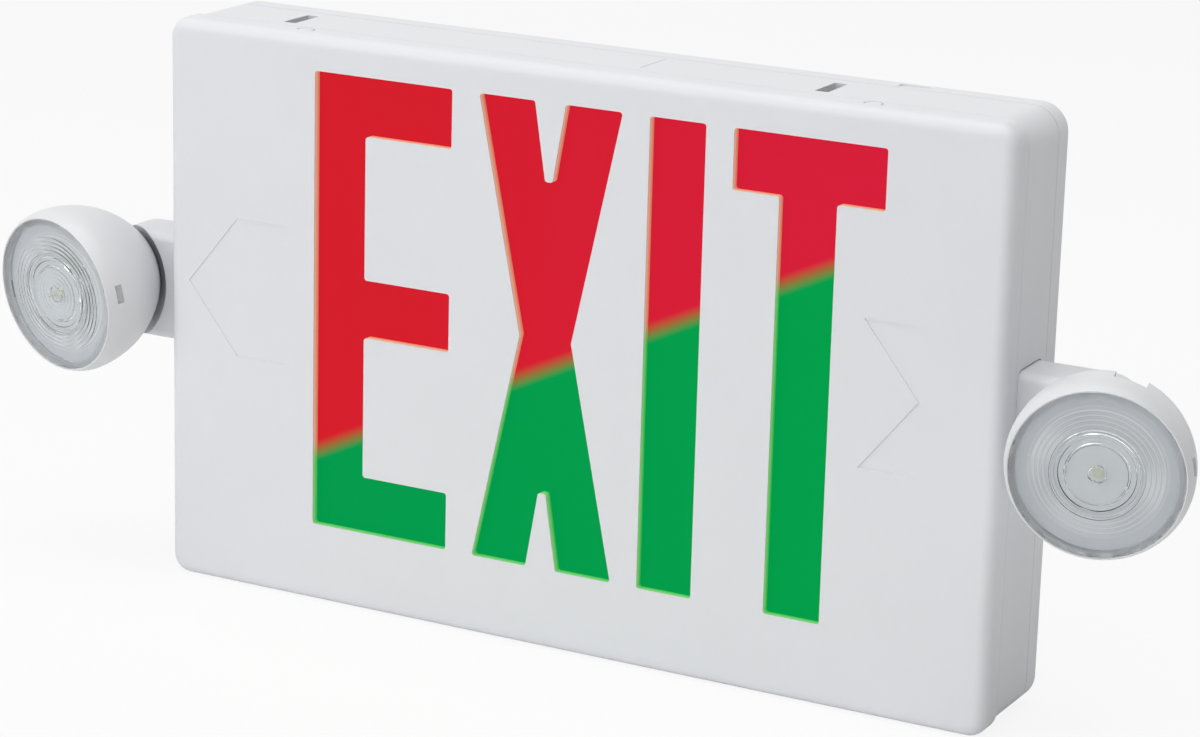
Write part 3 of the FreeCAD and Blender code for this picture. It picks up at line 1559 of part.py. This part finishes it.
pieces["pilot_lamp"] = make_pilot_lamp()
arm = make_arm_block()
pieces["arm_block_right"] = arm
pieces["arm_block_left"] = mirror("arm_block_left", arm)
pieces.update(make_head("right", RIGHT))
pieces.update(make_head("left", LEFT))
pieces.update(make_all_leads())
doc.recompute()

for thing in doc.Objects:
    if any(flag in thing.State for flag in ("Invalid", "Error")):
        raise ValueError("object failed: " + thing.Label)
os.makedirs("parts", exist_ok=True)
for label, piece in pieces.items():
    piece.Label = label
    shape = piece.Shape
    if shape.isNull() or not shape.isValid():
        raise ValueError("bad shape: " + label)
    shape.exportStep("parts/%s.step" % label)
    span = shape.optimalBoundingBox(False)
    print(label, len(shape.Solids), round(shape.Volume, 1),
          [round(v, 1) for v in (span.XMin, span.XMax, span.YMin, span.YMax, span.ZMin, span.ZMax)])
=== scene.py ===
import bpy
import bmesh
import json
import math
from mathutils import Matrix, Vector


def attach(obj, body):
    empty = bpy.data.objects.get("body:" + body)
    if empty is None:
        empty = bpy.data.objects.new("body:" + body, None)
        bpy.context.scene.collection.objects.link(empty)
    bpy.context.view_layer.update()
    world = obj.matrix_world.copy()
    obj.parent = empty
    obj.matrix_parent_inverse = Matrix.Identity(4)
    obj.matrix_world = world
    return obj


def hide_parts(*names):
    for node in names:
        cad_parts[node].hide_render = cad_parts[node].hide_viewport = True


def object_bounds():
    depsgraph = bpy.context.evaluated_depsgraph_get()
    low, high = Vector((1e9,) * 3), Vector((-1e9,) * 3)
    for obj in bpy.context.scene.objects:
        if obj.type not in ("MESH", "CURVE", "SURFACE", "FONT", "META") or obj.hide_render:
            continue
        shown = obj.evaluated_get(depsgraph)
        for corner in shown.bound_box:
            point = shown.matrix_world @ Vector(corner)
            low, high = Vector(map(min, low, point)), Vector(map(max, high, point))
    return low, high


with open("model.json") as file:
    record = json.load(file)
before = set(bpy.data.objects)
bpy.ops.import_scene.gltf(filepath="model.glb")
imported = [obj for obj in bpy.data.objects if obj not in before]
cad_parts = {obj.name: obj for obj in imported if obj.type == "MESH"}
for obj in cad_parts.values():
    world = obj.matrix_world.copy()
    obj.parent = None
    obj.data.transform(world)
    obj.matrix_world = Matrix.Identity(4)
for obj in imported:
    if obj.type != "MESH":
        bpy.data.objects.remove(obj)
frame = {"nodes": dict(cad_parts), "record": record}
cad_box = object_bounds()
nodes = frame["nodes"]

# Places on the part, in metres and radians
HEAD_OUT = math.radians(12.5)
HEAD_DOWN = math.radians(6.5)
HEAD_PIVOT = (0.1833, -0.0458, 0.0005)
FACE_DEPTH = 0.041
SPLIT_SLOPE = 0.482
SPLIT_OFFSET = 0.0007
LETTERS_HALF_WIDTH = 0.125
LETTERS_MIDDLE = 0.0078
LETTERS_HALF_HEIGHT = 0.079
SEAT_RADIUS = 0.0304
SHOWN_SEAT_RADIUS = 0.0297
LATHE_STEPS = 128
RING_RADIUS = 0.0191
RING_PITCH = 0.00147


def head_axes(side, turn):
    """Pivot, pin axis, slot direction and lamp axis of one head, in metres."""
    pivot = Vector((side * HEAD_PIVOT[0], HEAD_PIVOT[1], HEAD_PIVOT[2]))
    level = math.cos(HEAD_DOWN)
    ahead = Vector((side * math.sin(HEAD_OUT) * level, -math.cos(HEAD_OUT) * level, -math.sin(HEAD_DOWN)))
    up = (Vector((0, 0, 1)) - ahead * ahead.z).normalized()
    right = up.cross(ahead)
    slot = up * math.cos(math.radians(turn)) + right * math.sin(math.radians(turn))
    return pivot, slot.cross(ahead), slot, ahead


HEADS = {"right": head_axes(1, 15.0), "left": head_axes(-1, 195.0)}


# Node helpers
class Nodes:
    """Short ways to build a material's node tree."""

    def __init__(self, name):
        self.mat = bpy.data.materials.new(name)
        self.mat.use_nodes = True
        self.tree = self.mat.node_tree
        self.shader = self.tree.nodes["Principled BSDF"]
        self.point = self.new("ShaderNodeTexCoord").outputs["Object"]

    def new(self, kind, **props):
        node = self.tree.nodes.new(kind)
        for key, value in props.items():
            setattr(node, key, value)
        return node

    def link(self, source, target):
        if hasattr(source, "default_value") and hasattr(source, "links"):
            self.tree.links.new(source, target)
        else:
            target.default_value = source

    def math(self, operation, a, b=0.0, c=0.0, clamp=False):
        node = self.new("ShaderNodeMath", operation=operation, use_clamp=clamp)
        for i, value in enumerate((a, b, c)):
            self.link(value, node.inputs[i])
        return node.outputs[0]

    def vector(self, operation, a, b=(0, 0, 0), out=0):
        node = self.new("ShaderNodeVectorMath", operation=operation)
        self.link(a, node.inputs[0])
        self.link(b, node.inputs[1])
        return node.outputs[out]

    def split(self):
        node = self.new("ShaderNodeSeparateXYZ")
        self.link(self.point, node.inputs[0])
        return node.outputs

    def smooth(self, value, low, high):
        node = self.new("ShaderNodeMapRange", interpolation_type="SMOOTHSTEP")
        self.link(value, node.inputs[0])
        node.inputs[1].default_value = low
        node.inputs[2].default_value = high
        return node.outputs[0]

    def noise(self, scale, detail):
        node = self.new("ShaderNodeTexNoise")
        self.link(self.point, node.inputs["Vector"])
        node.inputs["Scale"].default_value = scale
        node.inputs["Detail"].default_value = detail
        node.inputs["Roughness"].default_value = 0.55
        return node.outputs["Fac"]

    def ramp(self, fac, stops):
        node = self.new("ShaderNodeValToRGB")
        self.link(fac, node.inputs[0])
        items = node.color_ramp.elements
        while len(items) < len(stops):
            items.new(0.5)
        for item, (place, colour) in zip(items, stops):
            item.position = place
            item.color = tuple(colour) + (1.0,)
        return node.outputs[0]

    def mix(self, fac, a, b):
        node = self.new("ShaderNodeMix", data_type="RGBA")
        self.link(fac, node.inputs["Factor"])
        for key, value in (("A", a), ("B", b)):
            target = [s for s in node.inputs if s.name == key and s.type == "RGBA"][0]
            self.link(value + (1.0,) if isinstance(value, tuple) else value, target)
        return [s for s in node.outputs if s.type == "RGBA"][0]

    def bump(self, height, distance):
        node = self.new("ShaderNodeBump")
        self.link(height, node.inputs["Height"])
        node.inputs["Distance"].default_value = distance
        node.inputs["Strength"].default_value = 1.0
        self.tree.links.new(node.outputs[0], self.shader.inputs["Normal"])

    def base(self):
        return self.shader.inputs["Base Color"].links[0].from_socket

    def set(self, **values):
        for key, value in values.items():
            self.link(value, self.shader.inputs[key.replace("_", " ")])


def shades(colour, spread):
    """Two tones either side of a colour."""
    low = tuple(max(0.0, c * (1 - spread)) for c in colour)
    high = tuple(min(1.0, c * (1 + spread)) for c in colour)
    return [(0.3, low), (0.7, high)]


def plain(name, colour, rough, grain=900.0, depth=0.00003, spread=0.02, metal=0.0, specular=0.5,
          patch=40.0):
    """Moulded or coated surface: slow tone change, fine grain, roughness that varies."""
    n = Nodes(name)
    slow = n.noise(patch, 2.0)
    fine = n.noise(grain, 2.0)
    n.set(Base_Color=n.ramp(slow, shades(colour, spread)), Metallic=metal)
    n.link(specular, n.shader.inputs["Specular IOR Level"])
    n.link(n.math("MULTIPLY_ADD", fine, 0.10, rough - 0.05), n.shader.inputs["Roughness"])
    n.bump(fine, depth)
    return n


def split_height(n):
    """Height above the slanted line that parts the two sign colours."""
    x, y, z = n.split()
    line = n.math("MULTIPLY", x, SPLIT_SLOPE)
    return n.math("SUBTRACT", n.math("SUBTRACT", z, line), SPLIT_OFFSET)


# Materials
WHITE = (0.787, 0.800, 0.825)


def satin_white(name):
    """Satin white moulding."""
    return plain(name, WHITE, 0.42, grain=1400.0, depth=0.000012, spread=0.006, specular=0.35)


def make_faceplate():
    """Satin white moulding; the walls of the stencil openings get a painted glow and tint, in base colour
    and emission, that stand in for light from the letter panel.
    """
    n = satin_white("white_face")
    base = n.base()
    x, y, z = n.split()
    depth = n.math("ADD", y, FACE_DEPTH)
    inside = n.math("GREATER_THAN", depth, 0.00045)
    beside = n.math("LESS_THAN", n.math("ABSOLUTE", x), LETTERS_HALF_WIDTH)
    above = n.math("ABSOLUTE", n.math("SUBTRACT", z, LETTERS_MIDDLE))
    near = n.math("MULTIPLY", beside, n.math("LESS_THAN", above, LETTERS_HALF_HEIGHT))
    # Painted light: the stencil walls behind the front face are tinted towards the panel colour with depth
    # and made to glow, in place of light from the letter panel.
    glowing_walls = n.math("MULTIPLY", inside, near)
    upper = n.smooth(split_height(n), -0.0035, 0.0035)
    deep = n.smooth(depth, 0.0006, 0.0030)
    upper_wall_glow = n.mix(deep, (0.70, 0.53, 0.35), (0.62, 0.25, 0.14))
    lower_wall_glow = n.mix(deep, (0.27, 0.62, 0.21), (0.05, 0.48, 0.10))
    painted_wall_glow = n.mix(upper, lower_wall_glow, upper_wall_glow)
    n.set(Base_Color=n.mix(glowing_walls, base, painted_wall_glow))
    n.link(n.mix(glowing_walls, (0.0, 0.0, 0.0), painted_wall_glow), n.shader.inputs["Emission Color"])
    n.link(n.math("MULTIPLY", glowing_walls, 0.35), n.shader.inputs["Emission Strength"])
    return n.mat


def make_sign_panel():
    """Translucent panel whose backlight is painted in as a glow in its own material: red above the slanted
    line, green below it.
    """
    n = Nodes("sign_panel")
    fade = n.smooth(split_height(n), -0.0040, 0.0040)
    across = n.smooth(n.split()[0], -0.10, 0.11)
    red = n.mix(across, (0.664, 0.0125, 0.0235), (0.664, 0.0125, 0.040))
    green = n.mix(across, (0.0, 0.320, 0.072), (0.0, 0.338, 0.068))
    olive = (0.30, 0.160, 0.040)
    lower = n.mix(n.math("MULTIPLY", fade, 2.0, clamp=True), green, olive)
    tone = n.mix(n.math("MULTIPLY_ADD", fade, 2.0, -1.0, clamp=True), lower, red)
    # Painted light: the panel glows by emission in place of the diodes behind it, with a slow random
    # change in strength.
    glow = n.math("MULTIPLY_ADD", n.noise(9.0, 1.0), 0.06, 0.91)
    n.set(Base_Color=n.mix(0.92, tone, (0.0, 0.0, 0.0)), Roughness=0.5)
    n.link(0.02, n.shader.inputs["Specular IOR Level"])
    n.link(tone, n.shader.inputs["Emission Color"])
    n.link(glow, n.shader.inputs["Emission Strength"])
    n.bump(n.noise(700.0, 1.0), 0.00001)
    return n.mat


def lamp_radius(n):
    """Distance from the nearer lamp axis."""
    away = []
    for pivot, pin, slot, ahead in HEADS.values():
        offset = n.vector("SUBTRACT", n.point, tuple(pivot))
        along = n.vector("DOT_PRODUCT", offset, tuple(ahead), out=1)
        length = n.vector("LENGTH", offset, out=1)
        square = n.math("SUBTRACT", n.math("MULTIPLY", length, length), n.math("MULTIPLY", along, along))
        away.append(n.math("SQRT", square))
    return n.math("MINIMUM", away[0], away[1])


def make_lens():
    """Clear resin with a slight haze; the flange at its edge is frosted."""
    n = Nodes("clear_lens")
    fine = n.noise(220.0, 1.0)
    edge = n.smooth(lamp_radius(n), 0.0234, 0.0242)
    haze = n.math("MULTIPLY_ADD", fine, 0.02, 0.005)
    n.set(Base_Color=n.ramp(fine, [(0.2, (0.956, 0.972, 0.980)), (0.8, (0.972, 0.986, 0.990))]),
          Roughness=n.math("MULTIPLY_ADD", edge, 0.5, haze), IOR=1.49, Transmission_Weight=1.0)
    n.bump(n.noise(60.0, 1.0), 0.00002)
    return n.mat


def make_lamp_board():
    """White coated board with painted light: lighter under the collimator, and soft painted bands in place
    of the light that the rings throw on it.
    """
    n = plain("white_board", (0.715, 0.741, 0.769), 0.4, grain=1500.0, depth=0.00001)
    base = n.base()
    near = lamp_radius(n)
    # Painted light: bright rings on the board stand in for light bent by the lens rings, and the centre
    # under the collimator is painted lighter.
    turn = n.math("MULTIPLY", n.math("SUBTRACT", near, RING_RADIUS), math.tau / RING_PITCH)
    within = n.math("MULTIPLY", n.smooth(near, 0.0128, 0.0140), n.smooth(near, 0.0215, 0.0192))
    painted_band = n.math("MULTIPLY_ADD", n.math("COSINE", turn), 0.5, 0.5)
    painted_ring_light = n.mix(n.math("MULTIPLY", painted_band, within), base, (0.98, 0.99, 1.0))
    n.set(Base_Color=n.mix(n.smooth(near, 0.0118, 0.0128), (0.855, 0.885, 0.905), painted_ring_light))
    return n.mat


PLAIN = {
    "white_head": ((0.770, 0.780, 0.800), 0.36, dict(grain=1200.0, depth=0.000006, spread=0.005,
                                                     specular=0.35)),
    "white_neck": ((0.78, 0.78, 0.79), 0.35, dict(grain=1200.0, depth=0.000006, spread=0.01)),
    "white_reflector": ((0.86, 0.86, 0.86), 0.6, dict(depth=0.00002, spread=0.01)),
    "green_board": ((0.03, 0.20, 0.07), 0.35, dict(grain=500.0, spread=0.12, patch=160.0)),
    "lamp_diode": ((0.80, 0.82, 0.62), 0.3, dict(grain=3000.0, spread=0.08, patch=900.0)),
    "ribbon_cable": ((0.45, 0.45, 0.47), 0.5, dict(grain=1300.0, spread=0.06)),
    "white_nylon": ((0.78, 0.76, 0.68), 0.5, dict(spread=0.03)),
    "capacitor_sleeve": ((0.02, 0.03, 0.09), 0.3, dict(spread=0.1, patch=200.0)),
    "black_resin": ((0.022, 0.022, 0.024), 0.5, dict(grain=1500.0, spread=0.15, patch=200.0)),
    "core_steel": ((0.30, 0.30, 0.32), 0.45, dict(grain=1800.0, spread=0.15, metal=0.9)),
    "coil_tape": ((0.62, 0.45, 0.06), 0.4, dict(spread=0.08, patch=120.0)),
    "cell_wrap": ((0.04, 0.22, 0.08), 0.28, dict(spread=0.06)),
    "zinc_steel": ((0.62, 0.63, 0.65), 0.3, dict(grain=2500.0, spread=0.06, metal=1.0)),
    "button_red": ((0.50, 0.02, 0.02), 0.32, dict(spread=0.04, patch=150.0)),
    "pilot_red": ((0.70, 0.03, 0.02), 0.15, dict(spread=0.04, patch=300.0)),
    "head_plate": ((0.44, 0.45, 0.46), 0.45, dict(grain=1600.0, spread=0.05, metal=0.9)),
    "red_lead": ((0.50, 0.03, 0.02), 0.4, dict(spread=0.05, patch=200.0)),
}
MATERIALS = {
    "white_housing": satin_white("white_housing").mat,
    "white_face": make_faceplate(),
    "sign_panel": make_sign_panel(),
    "clear_lens": make_lens(),
    "white_board": make_lamp_board(),
}
for name, (colour, rough, rest) in PLAIN.items():
    MATERIALS[name] = plain(name, colour, rough, **rest).mat

for part in frame["record"]["subparts"]:
    name = part["node"]
    if name in nodes:
        chosen = "white_face" if name == "front_faceplate" else part["material_slot"]
        nodes[name].data.materials.clear()
        nodes[name].data.materials.append(MATERIALS[chosen])


# Pieces
def add_piece(name, data):
    """Object at the origin that shows a mesh."""
    piece = bpy.data.objects.new(name, data)
    bpy.context.scene.collection.objects.link(piece)
    return piece


def piece_from(mesh, name):
    """Object at the origin from a bmesh, which is freed."""
    data = bpy.data.meshes.new(name)
    mesh.to_mesh(data)
    mesh.free()
    return add_piece(name, data)


def smooth(piece, angle):
    """Smooth shading that stays crisp at edges sharper than the angle."""
    for face in piece.data.polygons:
        face.use_smooth = True
    piece.data.set_sharp_from_angle(angle=math.radians(angle))


# Lens with moulded rings
def lathe(name, profile):
    """Full turn of a profile (radius, height) about Z; it starts and ends on the axis, outside first."""
    points, rings, faces = [], [], []
    for radius, height in profile:
        count = LATHE_STEPS if radius > 0 else 1
        rings.append([len(points) + i for i in range(count)])
        for i in range(count):
            angle = math.tau * i / LATHE_STEPS
            points.append((radius * math.cos(angle), radius * math.sin(angle), height))
    for near, far in zip(rings, rings[1:]):
        for i in range(LATHE_STEPS):
            here, there = i % len(near), (i + 1) % len(near)
            corners = (near[here], far[i % len(far)], far[(i + 1) % len(far)], near[there])
            faces.append(tuple(dict.fromkeys(corners)))
    data = bpy.data.meshes.new(name)
    data.from_pydata(points, [], faces)
    return add_piece(name, data)


def ripple(profile, start, end, pitch, height, depth):
    """Add a row of soft moulded rings to a profile, from one radius to a smaller one."""
    steps = round((start - end) / pitch) * 8
    for i in range(steps + 1):
        radius = start + (end - start) * i / steps
        profile.append((radius, height - depth * (1 - math.cos(math.tau * i / 8)) / 2))


def lens_profile():
    """Outline of the lens in metres: crown and flange outside; rings, collimator and diode cup inside."""
    profile = [(0.0, 10.75), (0.6, 10.80), (1.1, 10.93), (1.5, 11.08), (1.75, 11.17), (2.1, 11.19)]
    for i in range(1, 36):
        radius = 2.1 + 21.1 * i / 35
        profile.append((radius, 11.2 - 1.5 * (radius / 26.0) ** 2))
    profile += [(23.9, 9.93), (24.0, 9.90), (24.2, 9.86), (24.6, 9.83), (25.85, 9.70), (26.0, 9.55)]
    profile += [(26.0, 8.2), (24.1, 8.2), (23.8, 8.3), (20.4, 8.3)]
    ripple(profile, 20.0, 14.2, 1.45, 8.32, 0.13)
    profile += [(14.1, 8.05), (13.65, 8.0), (13.6, 7.4), (12.75, 7.3), (12.6, 7.8), (11.6, 7.75)]
    profile += [(11.4, 7.3), (9.8, 7.25), (9.6, 7.55), (9.2, 7.55)]
    ripple(profile, 9.0, 3.0, 1.5, 7.35, 0.08)
    profile += [(2.8, 7.25), (2.7, 7.3), (2.7, 8.3), (2.4, 8.5), (0.0, 8.5)]
    return [(r * 0.001, h * 0.001) for r, h in profile]


def set_in_head(piece, tag):
    """Write the head's place into the mesh, so the piece itself stays at the origin."""
    pivot, pin, slot, ahead = HEADS[tag]
    place = Matrix((pin, slot, ahead)).transposed().to_4x4()
    place.translation = pivot
    piece.data.transform(place)
    piece.data.update()


for tag in HEADS:
    lens = lathe("lens_detail_" + tag, lens_profile())
    smooth(lens, 22.0)
    set_in_head(lens, tag)
    lens.data.materials.append(MATERIALS["clear_lens"])
    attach(lens, "lamp_head_" + tag)
    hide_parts("lens_" + tag)


# Arms with a closer seat behind each head
def close_seat(mesh, pivot):
    """Bring the round seat closer to the head; its rim slides along the faces that it meets."""
    on_seat = [v for v in mesh.verts if abs((v.co - pivot).length - SEAT_RADIUS) < 0.00004]
    members = set(on_seat)
    shifts = []
    for vert in on_seat:
        out = (vert.co - pivot).normalized()
        beside = [f.normal for f in vert.link_faces if any(v not in members for v in f.verts)]
        slide = out
        if beside:
            facing = sum(beside, Vector()).normalized()
            slide = (out - facing * out.dot(facing)).normalized()
        along = max(slide.dot(out), 0.5)
        shifts.append((vert, slide * ((SHOWN_SEAT_RADIUS - SEAT_RADIUS) / along)))
    for vert, shift in shifts:
        vert.co += shift


for tag in HEADS:
    mesh = bmesh.new()
    mesh.from_mesh(nodes["arm_block_" + tag].data)
    bmesh.ops.remove_doubles(mesh, verts=mesh.verts, dist=1e-6)
    mesh.normal_update()
    close_seat(mesh, HEADS[tag][0])
    arm = piece_from(mesh, "arm_detail_" + tag)
    smooth(arm, 28.0)
    even = arm.modifiers.new("even_shading", "WEIGHTED_NORMAL")
    even.keep_sharp = True
    arm.data.materials.append(MATERIALS["white_housing"])
    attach(arm, "housing")
    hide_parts("arm_block_" + tag)


# Floor, light and camera
FLOOR_GLOW = 0.99
FLOOR_SHARE = 0.88
SEEN_WORLD = 0.97


def make_floor():
    """Pale floor that the camera sees near white, with the object's shadow kept on it."""
    mesh = bmesh.new()
    bmesh.ops.create_grid(mesh, x_segments=2, y_segments=2, size=3.0)
    floor = piece_from(mesh, "floor")
    floor.location = (0, 0, cad_box[0][2] - 0.0002)
    mat = bpy.data.materials.new("floor")
    mat.use_nodes = True
    tree = mat.node_tree
    shader = tree.nodes["Principled BSDF"]
    shader.inputs["Base Color"].default_value = (0.93, 0.93, 0.93, 1.0)
    shader.inputs["Roughness"].default_value = 0.9
    shader.inputs["Specular IOR Level"].default_value = 0.1
    glow = tree.nodes.new("ShaderNodeEmission")
    glow.inputs["Color"].default_value = (1.0, 1.0, 1.0, 1.0)
    glow.inputs["Strength"].default_value = FLOOR_GLOW
    path = tree.nodes.new("ShaderNodeLightPath")
    share = tree.nodes.new("ShaderNodeMath")
    share.operation = "MULTIPLY"
    share.inputs[1].default_value = FLOOR_SHARE
    mix = tree.nodes.new("ShaderNodeMixShader")
    tree.links.new(path.outputs["Is Camera Ray"], share.inputs[0])
    tree.links.new(share.outputs[0], mix.inputs[0])
    tree.links.new(shader.outputs[0], mix.inputs[1])
    tree.links.new(glow.outputs[0], mix.inputs[2])
    tree.links.new(mix.outputs[0], tree.nodes["Material Output"].inputs["Surface"])
    floor.data.materials.append(mat)


def make_world(ambient):
    """Soft light from all round; seen directly, mirrored or through glass it is near white."""
    world = bpy.data.worlds.new("studio")
    bpy.context.scene.world = world
    world.use_nodes = True
    tree = world.node_tree
    back = tree.nodes["Background"]
    back.inputs["Color"].default_value = (1.0, 1.0, 1.0, 1.0)
    path = tree.nodes.new("ShaderNodeLightPath")
    seen = path.outputs["Is Camera Ray"]
    for name in ("Is Glossy Ray", "Is Transmission Ray"):
        either = tree.nodes.new("ShaderNodeMath")
        either.operation = "MAXIMUM"
        tree.links.new(seen, either.inputs[0])
        tree.links.new(path.outputs[name], either.inputs[1])
        seen = either.outputs[0]
    level = tree.nodes.new("ShaderNodeMath")
    level.operation = "MULTIPLY_ADD"
    level.inputs[1].default_value = SEEN_WORLD - ambient
    level.inputs[2].default_value = ambient
    tree.links.new(seen, level.inputs[0])
    tree.links.new(level.outputs[0], back.inputs["Strength"])


def area(name, place, size, power):
    """White soft box that faces the origin."""
    data = bpy.data.lights.new(name, "AREA")
    data.shape = "RECTANGLE"
    data.size, data.size_y = size
    data.energy = power
    lamp = bpy.data.objects.new(name, data)
    lamp.location = place
    lamp.rotation_euler = (-Vector(place)).to_track_quat("-Z", "Y").to_euler()
    bpy.context.scene.collection.objects.link(lamp)


def make_camera():
    """Camera solved from the corners of the housing and the letters in the photo."""
    data = bpy.data.cameras.new("camera")
    data.sensor_width = 36.0
    data.lens = 112.2
    camera = bpy.data.objects.new("camera", data)
    right = Vector((0.87934, 0.47547, 0.02619)).normalized()
    ahead = Vector((-0.45165, 0.85018, -0.27056)).normalized()
    up = right.cross(ahead)
    place = Matrix((right, up, -ahead)).transposed().to_4x4()
    place.translation = Vector((0.54356, -1.03784, 0.31877))
    camera.matrix_world = place
    bpy.context.scene.collection.objects.link(camera)
    bpy.context.scene.camera = camera


make_floor()
make_world(0.30)
area("front", (0.0, -1.75, 1.1), (1.2, 1.2), 5.2)
area("side_box", (-1.2, -1.6, 0.9), (0.6, 0.6), 7.6)
area("low_box", (-1.2, -1.6, 0.3), (0.5, 0.5), 2.0)
area("overhead", (0.0, -0.2, 1.8), (2.0, 1.4), 20.0)
make_camera()
bpy.context.scene.view_settings.view_transform = "Standard"
